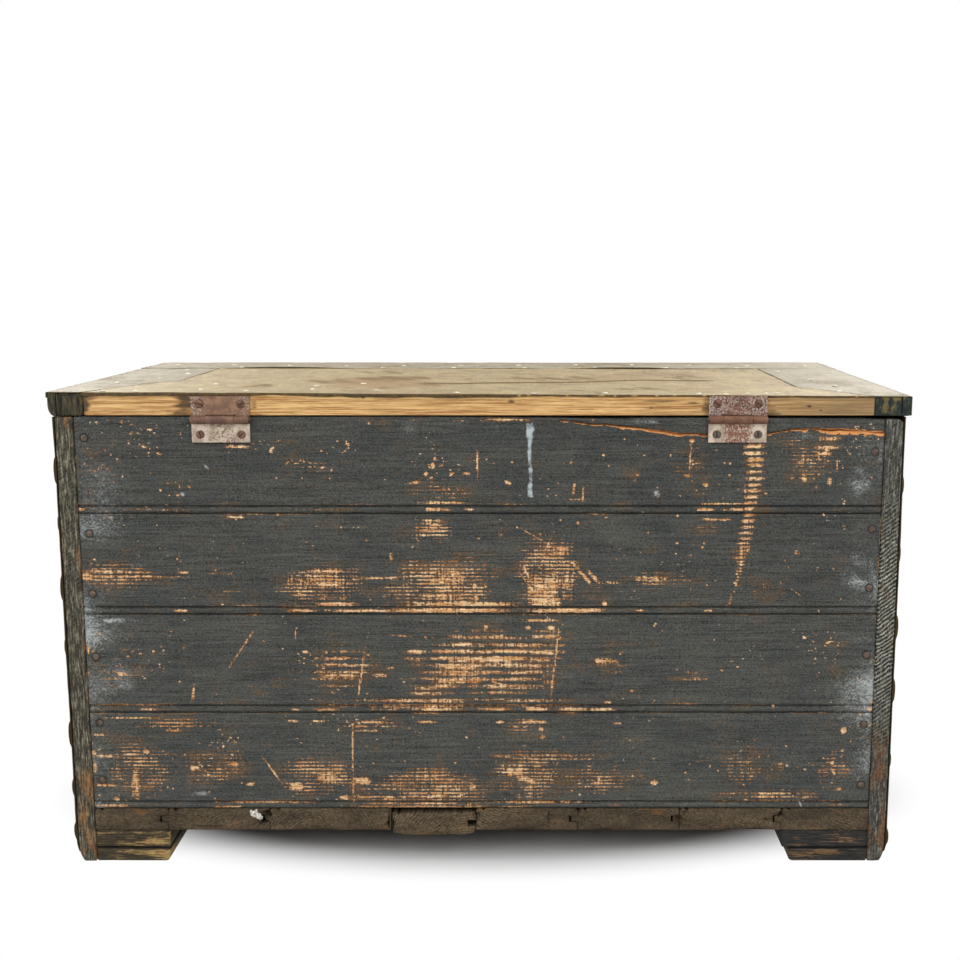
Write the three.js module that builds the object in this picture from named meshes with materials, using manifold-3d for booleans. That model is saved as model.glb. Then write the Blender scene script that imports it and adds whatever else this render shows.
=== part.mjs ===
// A lidded chest, clad in sheet brass on its lid, front and ends.
// The uncovered back and the floor are tongued boards with a bead along one edge. The ends and
// the front are plain boards, nailed with the back to a cleat in each inside corner. The lid is
// four tongued planks between two end clamps, edged with thin strips, and hangs on two butt hinges
// screwed to the outside of the back. Four feet of stacked blocks stand under the floor.
// Millimetres, +Z up, front towards -Y, origin under the middle of the chest on the ground.

import * as THREE from "three";
import { mergeVertices } from "three/addons/utils/BufferGeometryUtils.js";
import Module from "manifold-3d";

const wasm = await Module();
wasm.setup();

// The carcass.
const insideWidth = 710.6;
const carcassDepth = 368;
const endThickness = 16;
const frontThickness = 16;
const endCornerWidth = 5;
const endCornerHeight = 7;

// Tongued and beaded boards of the back, the floor and the lid.
const backThickness = 20;
const boardCover = 91.7;
const topBoardWidth = 86;
const tongueLength = 6.5;
const tongueThickness = 6;
const grooveDepth = 7.6;
const beadRadius = 3.2;
const quirkWidth = 1.8;

// The floor, whose fifth board hangs a little low.
const floorThickness = 20.5;
const wideFloorBoardCount = 5;
const floorFirstWidth = 80;
const floorLastWidth = 66.9;
const floorStripWidth = 17.6;
const droppedWidth = 78;
const droppedBy = 4.5;

// Feet of two blocks each. Those on the left are wider, and their lower block is the shorter one.
const leftFootWidth = 79;
const leftFootLowerWidth = 73;
const rightFootWidth = 68;
const footDepth = 90;
const footLowerThickness = 13.2;
const footUpperThickness = 16.5;
const footCornerRadius = 3;

// Cleats in the inside corners.
const cleatSize = 20;
const cleatTopInset = 12;

// The lid.
const lidThickness = 20;
const lidSeatGap = 0.8;
const lidEndOverhang = 4.9;
const lidFrontOverhang = 7.3;
const clampWidth = 24.1;
const edgingThickness = 7;
const mouldingFoot = 1.2;
const mouldingCurveHeight = 10;

// Sheet brass.
const sheetThickness = 0.7;
const lidBorderWidth = 85;
const lidFrontBorderWidth = 93;
const rightEdgeFlange = 5;
const leftEdgeFlange = 20.5;
const mitreDepth = 38;
const mitreReach = 55;
const wrapAngle = 55;
const frontSheetReturn = 14;
const endSheetFootInset = 3;

// Butt hinges and their screws.
const hingeInset = 129.8;
const hingeLength = 50.8;
const middleKnuckleLength = 25.4;
const knuckleDiameter = 7.2;
const leafWidth = 20.2;
const leafThickness = 1.8;
const hingeAxisDrop = 2;
const pinDiameter = 3.2;
const pinProud = 1.2;
const screwSpacing = 36;
const screwFromAxis = 13.4;
const screwHeadDiameter = 7.8;
const screwShankDiameter = 3.6;
const screwShankLength = 16;
const slotWidth = 1.1;
const slotDepth = 0.9;

// Clearances between pieces, and how far a cutter runs past what it cuts.
const fitGap = 0.3;
const jointGap = 0.4;
const overrun = 2;

// Facets of round shapes.
const beadSides = 8;
const curveSides = 8;
const knuckleSides = 24;
const screwSides = 16;

// Levels and faces that follow from the sizes.
const halfInside = insideWidth / 2;
const boardReach = halfInside - fitGap;
const endOuter = halfInside + endThickness;
const backFace = carcassDepth / 2;
const frontFace = -carcassDepth / 2;
const footUpperBottom = footLowerThickness + fitGap;
const floorBottom = footUpperBottom + footUpperThickness + fitGap;
const floorTop = floorBottom + floorThickness;
const wallBottom = floorTop + fitGap;
const backBoards = 4;
const carcassTop = wallBottom + (backBoards - 1) * boardCover + topBoardWidth;
const lidBottom = carcassTop + lidSeatGap;
const lidTop = lidBottom + lidThickness;
const lidSheetBottom = lidTop + fitGap;
const edgingOuter = endOuter + lidEndOverhang;
const edgingInner = edgingOuter - edgingThickness;
const clampOuter = edgingInner - fitGap;
const clampInner = clampOuter - clampWidth;
const plankReach = clampInner - fitGap;
const lidSheetReach = edgingOuter + fitGap + sheetThickness;
const frontEdgingOuter = frontFace - lidFrontOverhang;
const frontEdgingInner = frontEdgingOuter + edgingThickness;
const lidCoreFront = frontEdgingInner + fitGap;
const lidSheetFront = frontEdgingOuter - fitGap - sheetThickness;
const knuckleRadius = knuckleDiameter / 2;
const hingeAxisY = backFace + fitGap + knuckleRadius;
const hingeAxisZ = carcassTop - hingeAxisDrop;
const screwHeadRadius = screwHeadDiameter / 2;
const screwShankRadius = screwShankDiameter / 2;

const brass = new THREE.MeshStandardMaterial({ color: 0xb39a62, roughness: 0.42, metalness: 1 });
const blackPaint = new THREE.MeshStandardMaterial({ color: 0x34383a, roughness: 0.62, metalness: 0 });
const barePine = new THREE.MeshStandardMaterial({ color: 0xd9a765, roughness: 0.7, metalness: 0 });
const dirtyPine = new THREE.MeshStandardMaterial({ color: 0x57503f, roughness: 0.8, metalness: 0 });
const darkWood = new THREE.MeshStandardMaterial({ color: 0x3a342b, roughness: 0.75, metalness: 0 });
const rustySteel = new THREE.MeshStandardMaterial({ color: 0x7a6257, roughness: 0.6, metalness: 0.7 });

const chest = new THREE.Group();

// Everything is drawn about the middle of the carcass, then moved so that the lid's front edge and
// the hinge knuckles lie equally far from the origin.
const frontReach = -lidSheetFront;
const rearReach = hingeAxisY + knuckleRadius;
chest.position.y = (frontReach - rearReach) / 2;

function add(name, geometry, material) {
  const mesh = new THREE.Mesh(geometry, material);
  mesh.name = name;
  chest.add(mesh);
}

// A closed geometry as a solid that can be cut and joined, and back again.
function solidOf(geometry) {
  const bare = geometry.clone();
  bare.deleteAttribute("normal");
  bare.deleteAttribute("uv");
  const merged = mergeVertices(bare);
  const mesh = new wasm.Mesh({
    numProp: 3,
    vertProperties: merged.attributes.position.array,
    triVerts: new Uint32Array(merged.index.array),
  });
  return new wasm.Manifold(mesh);
}

function geometryOf(solid) {
  const mesh = solid.getMesh();
  const geometry = new THREE.BufferGeometry();
  geometry.setAttribute("position", new THREE.BufferAttribute(mesh.vertProperties, 3));
  geometry.setIndex(new THREE.BufferAttribute(mesh.triVerts, 1));
  geometry.computeVertexNormals();
  return geometry;
}

// A box from its lowest to its highest corner.
function block(low, high) {
  const [x, y, z] = high.map((value, axis) => value - low[axis]);
  const box = new THREE.BoxGeometry(x, y, z);
  box.translate(low[0] + x / 2, low[1] + y / 2, low[2] + z / 2);
  return box;
}

// A shape drawn in (across, up) and run along a third direction, placed by where its zero lies.
function run(shape, length, across, up, place) {
  const body = new THREE.ExtrudeGeometry(shape, {
    depth: length,
    bevelEnabled: false,
    curveSegments: beadSides,
  });
  const along = new THREE.Vector3().crossVectors(across, up);
  body.applyMatrix4(new THREE.Matrix4().makeBasis(across, up, along));
  body.translate(...place);
  return body;
}

// A shape drawn in (across, up), with across along X or against it, run from lowY to highY.
function runDepth(shape, across, lowY, highY, x, z) {
  const start = across.x > 0 ? highY : lowY;
  return run(shape, highY - lowY, across, Z, [x, start, z]);
}

// A cylinder along X through a point.
function roundBar(radius, length, centre) {
  const bar = new THREE.CylinderGeometry(radius, radius, length, knuckleSides);
  bar.rotateZ(Math.PI / 2);
  bar.translate(...centre);
  return bar;
}

function shapeThrough(points) {
  return new THREE.Shape(points.map(([across, up]) => new THREE.Vector2(across, up)));
}

// The end of one board: width runs from the groove edge at 0, and the beaded face is at thickness.
function boardShape(width, thickness, { tongue = true, groove = true } = {}) {
  const shape = new THREE.Shape();
  const tongueLow = (thickness - tongueThickness) / 2;
  const tongueHigh = tongueLow + tongueThickness;
  const grooveLow = tongueLow - fitGap;
  const grooveHigh = tongueHigh + fitGap;
  const beadStart = width - 2 * beadRadius;
  shape.moveTo(0, 0);
  shape.lineTo(width, 0);
  if (tongue) {
    shape.lineTo(width, tongueLow);
    shape.lineTo(width + tongueLength, tongueLow);
    shape.lineTo(width + tongueLength, tongueHigh);
    shape.lineTo(width, tongueHigh);
  }
  shape.lineTo(width, thickness - beadRadius);
  shape.absarc(width - beadRadius, thickness - beadRadius, beadRadius, 0, Math.PI, false);
  shape.lineTo(beadStart - quirkWidth, thickness);
  shape.lineTo(0, thickness);
  if (groove) {
    shape.lineTo(0, grooveHigh);
    shape.lineTo(grooveDepth, grooveHigh);
    shape.lineTo(grooveDepth, grooveLow);
    shape.lineTo(0, grooveLow);
  }
  shape.closePath();
  return shape;
}

const X = new THREE.Vector3(1, 0, 0);
const Y = new THREE.Vector3(0, 1, 0);
const Z = new THREE.Vector3(0, 0, 1);
const minusX = X.clone().negate();
const minusY = Y.clone().negate();
const minusZ = Z.clone().negate();
const sides = [
  { side: "left", sign: -1, outward: minusX, inward: X },
  { side: "right", sign: 1, outward: X, inward: minusX },
];

// One screw along Y, its countersunk head flush at faceY, made larger all round by `grow`.
function screwSolid(x, faceY, z, grow) {
  const head = screwHeadRadius + grow;
  const shank = screwShankRadius + grow;
  const points = [
    new THREE.Vector2(0, -leafThickness - screwShankLength - grow),
    new THREE.Vector2(shank, -leafThickness - screwShankLength - grow),
    new THREE.Vector2(shank, -leafThickness),
    new THREE.Vector2(head, 0),
    new THREE.Vector2(0, 0),
  ];
  const body = new THREE.LatheGeometry(points, screwSides);
  body.translate(x, faceY, z);
  return solidOf(body);
}

const leafOuterY = backFace + fitGap + leafThickness;
const hingeX = halfInside - hingeInset;
const hinges = sides.map(({ side, sign }) => ({ side, x: sign * hingeX }));
const screws = [];
for (const { side, x } of hinges) {
  for (const [part, sign] of [["lid", 1], ["body", -1]]) {
    for (const [index, offset] of [-screwSpacing / 2, screwSpacing / 2].entries()) {
      screws.push({
        name: `hinge_${side}_${part}_screw_${index + 1}`,
        part,
        x: x + offset,
        z: hingeAxisZ + sign * screwFromAxis,
      });
    }
  }
}

// A board with the pilot holes of the screws of one hinge leaf bored into its back edge or face.
function bored(geometry, part) {
  let solid = solidOf(geometry);
  for (const screw of screws.filter((one) => one.part === part)) {
    solid = solid.subtract(screwSolid(screw.x, leafOuterY, screw.z, fitGap));
  }
  return geometryOf(solid);
}

// The back: four boards lying flat between the ends, tongue down, bead outside at the lower edge.
for (let index = 0; index < backBoards; index++) {
  const isTop = index === 0;
  const isBottom = index === backBoards - 1;
  const top = isTop ? carcassTop : wallBottom + (backBoards - index) * boardCover - jointGap;
  const width = isTop ? topBoardWidth : boardCover - jointGap;
  const shape = boardShape(width, backThickness, { tongue: !isBottom, groove: !isTop });
  let board = run(shape, 2 * boardReach, minusZ, Y, [-boardReach, backFace - backThickness, top]);
  if (isTop) board = bored(board, "body");
  add(`back_board_${index + 1}`, board, blackPaint);
}

// The front: two wide plain boards between the ends.
const frontBoardHeight = (carcassTop - wallBottom - jointGap) / 2;
for (const [name, bottom] of [
  ["lower", wallBottom],
  ["upper", wallBottom + frontBoardHeight + jointGap],
]) {
  const low = [-boardReach, frontFace, bottom];
  const high = [boardReach, frontFace + frontThickness, bottom + frontBoardHeight];
  add(`front_board_${name}`, block(low, high), barePine);
}

// Each end: two upright boards down to the ground, with the lower outside corner worn away.
const endShape = shapeThrough([
  [0, 0],
  [endThickness - endCornerWidth, 0],
  [endThickness, endCornerHeight],
  [endThickness, carcassTop],
  [0, carcassTop],
]);
const endBoardWidth = (carcassDepth - jointGap) / 2;
for (const { side, sign, outward } of sides) {
  for (const [place, low] of [
    ["front", frontFace],
    ["rear", backFace - endBoardWidth],
  ]) {
    const board = runDepth(endShape, outward, low, low + endBoardWidth, sign * halfInside, 0);
    add(`${side}_end_board_${place}`, board, blackPaint);
  }
}

// The floor: boards from front to back, bead uppermost and tongue towards the right. The wide ones
// share the width that the others leave. The one beside the dropped board has a strip glued on.
const narrowFloorWidth = floorFirstWidth + droppedWidth + floorStripWidth + floorLastWidth;
const floorCover = (2 * boardReach - narrowFloorWidth) / wideFloorBoardCount;
const floorPlan = [
  { cover: floorFirstWidth, groove: false },
  { cover: floorCover },
  { cover: floorCover },
  { cover: floorCover, tongue: false },
  { cover: droppedWidth, tongue: false, drop: droppedBy },
  { cover: floorCover + floorStripWidth, groove: false },
  { cover: floorCover },
  { cover: floorLastWidth, tongue: false, isLast: true },
];
let floorX = -boardReach;
for (const [index, plank] of floorPlan.entries()) {
  const width = plank.cover - (plank.isLast ? 0 : jointGap);
  const shape = boardShape(width, floorThickness, plank);
  const place = [floorX, backFace, floorBottom - (plank.drop ?? 0)];
  add(`floor_board_${index + 1}`, run(shape, carcassDepth, X, Z, place), dirtyPine);
  floorX += plank.cover;
}

// The end of one foot block, drawn inwards from the end board.
function footShape(width, height, cornerRadius) {
  const shape = new THREE.Shape();
  shape.moveTo(0, 0);
  shape.lineTo(width - cornerRadius, 0);
  if (cornerRadius > 0) {
    const turn = Math.PI / 2;
    shape.absarc(width - cornerRadius, cornerRadius, cornerRadius, -turn, 0, false);
  }
  shape.lineTo(width, height);
  shape.lineTo(0, height);
  shape.closePath();
  return shape;
}

// Two foot blocks and one cleat in each corner.
const footWidths = {
  left: { upper: leftFootWidth, lower: leftFootLowerWidth },
  right: { upper: rightFootWidth, lower: rightFootWidth },
};
const cleatShape = shapeThrough([
  [0, 0],
  [cleatSize, 0],
  [cleatSize, carcassTop - cleatTopInset - wallBottom],
  [0, carcassTop - cleatTopInset - wallBottom],
]);
const corners = [
  { place: "front", foot: [frontFace, frontFace + footDepth], cleat: frontFace + frontThickness + fitGap },
  {
    place: "rear",
    foot: [backFace - footDepth, backFace],
    cleat: backFace - backThickness - fitGap - cleatSize,
  },
];
for (const { side, sign, inward } of sides) {
  const lower = footShape(footWidths[side].lower, footLowerThickness, footCornerRadius);
  const upper = footShape(footWidths[side].upper, footUpperThickness, 0);
  const outerX = sign * boardReach;
  for (const { place, foot, cleat } of corners) {
    const name = `foot_${place}_${side}`;
    add(`${name}_lower`, runDepth(lower, inward, ...foot, outerX, 0), dirtyPine);
    add(`${name}_upper`, runDepth(upper, inward, ...foot, outerX, footUpperBottom), dirtyPine);
    const cleatBody = runDepth(cleatShape, inward, cleat, cleat + cleatSize, outerX, wallBottom);
    add(`corner_cleat_${place}_${side}`, cleatBody, barePine);
  }
}

// Sheet brass on the front, turned round both corners over the end sheets.
const endSheetInner = endOuter + fitGap;
const endSheetOuter = endSheetInner + sheetThickness;
const frontSheetInner = endSheetOuter + fitGap;
const frontSheetOuter = frontSheetInner + sheetThickness;
const frontSheetBack = frontFace - fitGap;
const frontSheetFace = frontSheetBack - sheetThickness;
const returnEnd = frontSheetBack + frontSheetReturn;
const frontSheetShape = shapeThrough([
  [-frontSheetOuter, frontSheetFace],
  [frontSheetOuter, frontSheetFace],
  [frontSheetOuter, returnEnd],
  [frontSheetInner, returnEnd],
  [frontSheetInner, frontSheetBack],
  [-frontSheetInner, frontSheetBack],
  [-frontSheetInner, returnEnd],
  [-frontSheetOuter, returnEnd],
]);
const frontSheet = run(frontSheetShape, carcassTop - floorBottom, X, Y, [0, 0, floorBottom]);
add("front_brass_sheet", frontSheet, brass);

// Sheet brass on the ends, stopped short of the ground above the worn corner.
const endSheetBottom = endCornerHeight + endSheetFootInset;
const endSheetShape = shapeThrough([
  [0, endSheetBottom],
  [sheetThickness, endSheetBottom],
  [sheetThickness, carcassTop],
  [0, carcassTop],
]);
for (const { side, sign, outward } of sides) {
  const x = sign * endSheetInner;
  const sheet = runDepth(endSheetShape, outward, frontFace, backFace, x, 0);
  add(`${side}_end_brass_sheet`, sheet, brass);
}

// The lid's planks lie from end to end, bead underneath, the tongue of each towards the front.
const lidPlanks = 4;
const rearPlankCover = backFace - lidCoreFront - (lidPlanks - 1) * boardCover;
let plankEdge = backFace;
for (let number = lidPlanks; number > 0; number--) {
  const isRear = number === lidPlanks;
  const isFront = number === 1;
  const cover = isRear ? rearPlankCover : boardCover;
  const width = cover - (isFront ? 0 : jointGap);
  const shape = boardShape(width, lidThickness, { tongue: !isFront, groove: !isRear });
  let plank = run(shape, 2 * plankReach, minusY, minusZ, [-plankReach, plankEdge, lidTop]);
  if (isRear) plank = bored(plank, "lid");
  add(`lid_plank_${number}`, plank, barePine);
  plankEdge -= cover;
}

// A clamp across each end of the planks.
const clampShape = shapeThrough([
  [clampInner, 0],
  [clampOuter, 0],
  [clampOuter, lidThickness],
  [clampInner, lidThickness],
]);
for (const { side, outward } of sides) {
  const clamp = runDepth(clampShape, outward, lidCoreFront, backFace, 0, lidBottom);
  add(`lid_clamp_${side}`, clamp, darkWood);
}

// An edging strip round the front and ends of the lid. On the front and right it is a moulding,
// rounded under to a narrow foot. This line goes down its outer face, `clear` outside it, from the
// top to where the curve has turned by `angle`.
function mouldingLine(clear, angle) {
  const points = [[edgingThickness + clear, lidThickness]];
  const turnTo = (angle * Math.PI) / 180;
  for (let step = 0; step <= curveSides; step++) {
    const turn = (step / curveSides) * turnTo;
    points.push([
      mouldingFoot + (edgingThickness - mouldingFoot + clear) * Math.cos(turn),
      mouldingCurveHeight - (mouldingCurveHeight + clear) * Math.sin(turn),
    ]);
  }
  return points;
}
const mouldingShape = shapeThrough([[0, lidThickness], ...mouldingLine(0, 90), [0, 0]].reverse());
const frontEdgingPlace = [edgingOuter, frontEdgingInner, lidBottom];
const frontEdging = run(mouldingShape, 2 * edgingOuter, minusY, Z, frontEdgingPlace);
add("lid_edging_front", frontEdging, darkWood);

// On the left the edging is a plain square strip.
const squareShape = shapeThrough([
  [0, 0],
  [edgingThickness, 0],
  [edgingThickness, lidThickness],
  [0, lidThickness],
]);
for (const { side, sign, outward } of sides) {
  const shape = side === "right" ? mouldingShape : squareShape;
  const edging = runDepth(shape, outward, lidCoreFront, backFace, sign * edgingInner, lidBottom);
  add(`lid_edging_${side}`, edging, darkWood);
}

// The edge of a brass sheet whose flange follows `flangeLine` down, inside and outside. It is drawn
// from the edging's inner face outwards and from the lid's bottom up.
function edgeSheetShape(width, flangeLine) {
  const sheetLow = lidThickness + fitGap;
  const sheetHigh = sheetLow + sheetThickness;
  const inner = flangeLine(fitGap).slice(1);
  const outer = flangeLine(fitGap + sheetThickness).slice(1).reverse();
  const innerBend = [edgingThickness + fitGap, sheetLow];
  const outerBend = [edgingThickness + fitGap + sheetThickness, sheetHigh];
  const start = outerBend[0] - width;
  const top = [[start, sheetHigh], [start, sheetLow]];
  return shapeThrough([...top, innerBend, ...inner, ...outer, outerBend]);
}
function wrappedFlange(clear) {
  return mouldingLine(clear, wrapAngle);
}
function straightFlange(length) {
  const bottom = lidThickness + fitGap + sheetThickness - length;
  return (clear) => [
    [edgingThickness + clear, lidThickness],
    [edgingThickness + clear, bottom],
  ];
}

// The lid's cover: a border of three sheets that fold down over the edging, and a middle sheet. At
// the rear the middle sheet runs out past the side sheets in a long mitre.
const borderInnerX = lidSheetReach - lidBorderWidth;
const borderInnerY = lidSheetFront + lidFrontBorderWidth;
const frontBorderShape = edgeSheetShape(lidFrontBorderWidth, wrappedFlange);
const frontBorderPlace = [lidSheetReach, frontEdgingInner, lidBottom];
const frontBorder = run(frontBorderShape, 2 * lidSheetReach, minusY, Z, frontBorderPlace);
add("lid_brass_front", frontBorder, brass);
const borderRearY = borderInnerY + jointGap;
const mitreFront = backFace - mitreDepth;
for (const { side, sign, outward } of sides) {
  const flange = side === "right" ? rightEdgeFlange : leftEdgeFlange;
  const shape = edgeSheetShape(lidBorderWidth, straightFlange(flange));
  const border = runDepth(shape, outward, borderRearY, backFace, sign * edgingInner, lidBottom);
  const mitre = shapeThrough([
    [sign * borderInnerX, mitreFront],
    [sign * (borderInnerX + mitreReach), backFace],
    [sign * (borderInnerX + mitreReach), backFace + overrun],
    [sign * (borderInnerX - overrun), backFace + overrun],
    [sign * (borderInnerX - overrun), mitreFront],
  ]);
  const cutter = run(mitre, 2 * overrun, X, Y, [0, 0, lidSheetBottom - overrun]);
  add(`lid_brass_${side}`, geometryOf(solidOf(border).subtract(solidOf(cutter))), brass);
}
const middleReach = borderInnerX - jointGap;
const middleShape = shapeThrough([
  [-middleReach, borderRearY],
  [middleReach, borderRearY],
  [middleReach, mitreFront],
  [middleReach + mitreReach, backFace],
  [-middleReach - mitreReach, backFace],
  [-middleReach, mitreFront],
]);
const middleSheet = run(middleShape, sheetThickness, X, Y, [0, 0, lidSheetBottom]);
add("lid_brass_middle", middleSheet, brass);

// One leaf: a plate beside the axis, joined to its own knuckles and cut clear of the other's.
function leaf(x, part) {
  const sign = part === "lid" ? 1 : -1;
  const half = hingeLength / 2;
  const middleHalf = middleKnuckleLength / 2;
  const outerKnuckles = [
    [-half, -middleHalf - jointGap],
    [middleHalf + jointGap, half],
  ];
  const own = part === "lid" ? outerKnuckles : [[-middleHalf, middleHalf]];
  const plateNear = sign * (knuckleRadius + jointGap);
  const plateFar = sign * leafWidth;
  const plateZ = [hingeAxisZ + plateNear, hingeAxisZ + plateFar].sort((a, b) => a - b);
  const plateBack = backFace + fitGap;
  let solid = solidOf(block([x - half, plateBack, plateZ[0]], [x + half, leafOuterY, plateZ[1]]));
  for (const [from, to] of own) {
    const middle = [x + (from + to) / 2, hingeAxisY, hingeAxisZ];
    const barrel = roundBar(knuckleRadius, to - from, middle);
    const webZ = [hingeAxisZ, hingeAxisZ + sign * (knuckleRadius + overrun)].sort((a, b) => a - b);
    const web = block([x + from, plateBack, webZ[0]], [x + to, leafOuterY, webZ[1]]);
    solid = solid.add(solidOf(barrel)).add(solidOf(web));
  }
  const axisAt = [x, hingeAxisY, hingeAxisZ];
  const bore = roundBar(pinDiameter / 2 + fitGap, hingeLength + 2 * overrun, axisAt);
  solid = solid.subtract(solidOf(bore));
  for (const screw of screws.filter((one) => one.part === part)) {
    solid = solid.subtract(screwSolid(screw.x, leafOuterY, screw.z, fitGap));
  }
  return geometryOf(solid);
}

for (const { side, x } of hinges) {
  add(`hinge_${side}_lid_leaf`, leaf(x, "lid"), rustySteel);
  add(`hinge_${side}_body_leaf`, leaf(x, "body"), rustySteel);
  const pinAt = [x, hingeAxisY, hingeAxisZ];
  const pin = roundBar(pinDiameter / 2, hingeLength + 2 * pinProud, pinAt);
  add(`hinge_${side}_pin`, pin, rustySteel);
}

// Eight slotted screws, their heads flush with the leaves.
for (const screw of screws) {
  const slot = block(
    [screw.x - screwHeadRadius - overrun, leafOuterY - slotDepth, screw.z - slotWidth / 2],
    [screw.x + screwHeadRadius + overrun, leafOuterY + overrun, screw.z + slotWidth / 2],
  );
  const solid = screwSolid(screw.x, leafOuterY, screw.z, 0).subtract(solidOf(slot));
  add(screw.name, geometryOf(solid), rustySteel);
}

export default chest;
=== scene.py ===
"""A low pine chest covered in sheet brass, seen from behind as in the photograph."""

import itertools
import math

import bmesh
import bpy
import numpy as np
from mathutils.geometry import delaunay_2d_cdt
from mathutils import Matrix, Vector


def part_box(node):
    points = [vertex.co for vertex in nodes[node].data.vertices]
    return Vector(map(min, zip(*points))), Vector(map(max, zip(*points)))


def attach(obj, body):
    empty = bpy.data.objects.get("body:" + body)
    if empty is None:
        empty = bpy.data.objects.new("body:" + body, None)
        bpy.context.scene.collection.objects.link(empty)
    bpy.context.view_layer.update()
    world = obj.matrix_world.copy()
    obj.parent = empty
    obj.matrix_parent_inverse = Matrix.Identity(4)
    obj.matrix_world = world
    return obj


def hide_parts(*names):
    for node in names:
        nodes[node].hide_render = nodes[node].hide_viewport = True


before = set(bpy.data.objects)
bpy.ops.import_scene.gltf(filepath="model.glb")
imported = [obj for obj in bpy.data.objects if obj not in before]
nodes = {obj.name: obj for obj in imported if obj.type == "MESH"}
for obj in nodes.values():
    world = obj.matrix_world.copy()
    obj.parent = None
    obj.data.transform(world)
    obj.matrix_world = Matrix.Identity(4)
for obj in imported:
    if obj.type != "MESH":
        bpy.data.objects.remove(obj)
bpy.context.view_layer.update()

# The studio. The camera stands behind the chest, at the photograph's viewing angle. The floor is
# plain and pale, the room is white, and five large soft lamps light the chest at a plain level.
MM = 0.001
back_face = 184.4
camera_behind = 1121
camera_height = 536
camera_aside = -42.6
camera_dip = 9.1
camera_data = bpy.data.cameras.new("camera")
camera_data.sensor_width = 36
camera_data.lens = 48.41
camera_data.shift_x = -0.05
camera = bpy.data.objects.new("camera", camera_data)
camera.location = (camera_aside * MM, (back_face + camera_behind) * MM, camera_height * MM)
camera.rotation_euler = (math.radians(90 - camera_dip), 0, math.radians(180))
bpy.context.scene.collection.objects.link(camera)
bpy.context.scene.camera = camera
bpy.context.scene.view_settings.view_transform = "Standard"


def linear(code):
    """An sRGB hex colour as linear red, green, blue and alpha."""
    shares = [int(code[i:i + 2], 16) / 255 for i in (0, 2, 4)]
    return tuple(s / 12.92 if s <= 0.04045 else ((s + 0.055) / 1.055) ** 2.4 for s in shares) + (1,)


def add(tree, kind, inputs, **settings):
    """Adds a shader node with its settings, links or values for its inputs; gives its output."""
    made = tree.nodes.new("ShaderNode" + kind)
    for name, value in settings.items():
        setattr(made, name, value)
    for name, value in inputs.items():
        if isinstance(value, bpy.types.NodeSocket):
            tree.links.new(value, made.inputs[name])
        else:
            made.inputs[name].default_value = value
    return next((socket for socket in made.outputs if socket.enabled), None)


def seen_directly(tree):
    """1 for rays that look at the room itself or at its reflection, and 0 for rays that light it."""
    path = add(tree, "LightPath", {}).node.outputs
    mirrored = add(tree, "Math", {0: path["Is Camera Ray"], 1: path["Is Glossy Ray"]}, operation="MAXIMUM")
    return add(tree, "Math", {0: mirrored, 1: path["Is Transmission Ray"]}, operation="MAXIMUM")


room_light = 0.25
world = bpy.data.worlds.new("white_room")
world.use_nodes = True
bpy.context.scene.world = world
room = world.node_tree
room.nodes["Background"].inputs["Color"].default_value = linear("ffffff")
strength = add(room, "MapRange", {0: seen_directly(room), 3: room_light, 4: 1.0})
room.links.new(strength, room.nodes["Background"].inputs["Strength"])

floor_reach = 6000
floor_drop = 0.3
floor_mesh = bpy.data.meshes.new("studio_floor")
corners = [(-1, -1), (1, -1), (1, 1), (-1, 1)]
floor_points = [(x * floor_reach * MM, y * floor_reach * MM, -floor_drop * MM) for x, y in corners]
floor_mesh.from_pydata(floor_points, [], [(0, 1, 2, 3)])
floor = bpy.data.objects.new("studio_floor", floor_mesh)
bpy.context.scene.collection.objects.link(floor)
floor_paper = bpy.data.materials.new("white_paper_floor")
floor_paper.use_nodes = True
paper = floor_paper.node_tree
sheet_shader = paper.nodes["Principled BSDF"]
sheet_shader.inputs["Base Color"].default_value = linear("d0d0d0")
sheet_shader.inputs["Roughness"].default_value = 0.9
sheet_shader.inputs["Specular IOR Level"].default_value = 0
# The floor turns from lit paper to plain white as it leaves the chest and its shadow, in metres.
shadow_near = 0.16
shadow_far = 0.232
where = add(paper, "TexCoord", {}).node.outputs["Object"]
squeezed = add(paper, "VectorMath", {0: where, 1: (0.5, 1, 1)}, operation="MULTIPLY")
away = add(paper, "VectorMath", {0: squeezed}, operation="LENGTH").node.outputs["Value"]
fade = {0: away, 1: shadow_near, 2: shadow_far}
fade = add(paper, "MapRange", fade, interpolation_type="SMOOTHSTEP")
share = add(paper, "Math", {0: fade, 1: seen_directly(paper)}, operation="MULTIPLY")
glow = add(paper, "Emission", {"Color": linear("ffffff"), "Strength": 1.0})
lit = add(paper, "MixShader", {0: share, 1: sheet_shader.outputs[0], 2: glow})
paper.links.new(lit, paper.nodes["Material Output"].inputs["Surface"])
floor_mesh.materials.append(floor_paper)

lamp_size = 1600
# Each lamp's place in mm, and its power in watts.
lamps = [
    ("rear_left", (1400, 2000, 1700), 32),
    ("rear_right", (-1500, 1900, 1500), 26),
    ("front_left", (-1500, -2100, 1600), 28),
    ("front_right", (1600, -1900, 1500), 24),
    ("above", (0, 200, 2300), 15),
]
for lamp_name, place, watts in lamps:
    lamp_data = bpy.data.lights.new("lamp_" + lamp_name, "AREA")
    lamp_data.size = lamp_size * MM
    lamp_data.energy = watts
    lamp = bpy.data.objects.new("lamp_" + lamp_name, lamp_data)
    lamp.location = [value * MM for value in place]
    toward = bpy.data.objects["studio_floor"].location - lamp.location
    lamp.rotation_euler = toward.to_track_quat("-Z", "Y").to_euler()
    bpy.context.scene.collection.objects.link(lamp)

# The end boards. Each end is two upright pine boards that run down to the ground. Their rear edges
# show beside the back: sawn across, painted thinly, and rubbed to brown wood at the foot.


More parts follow.
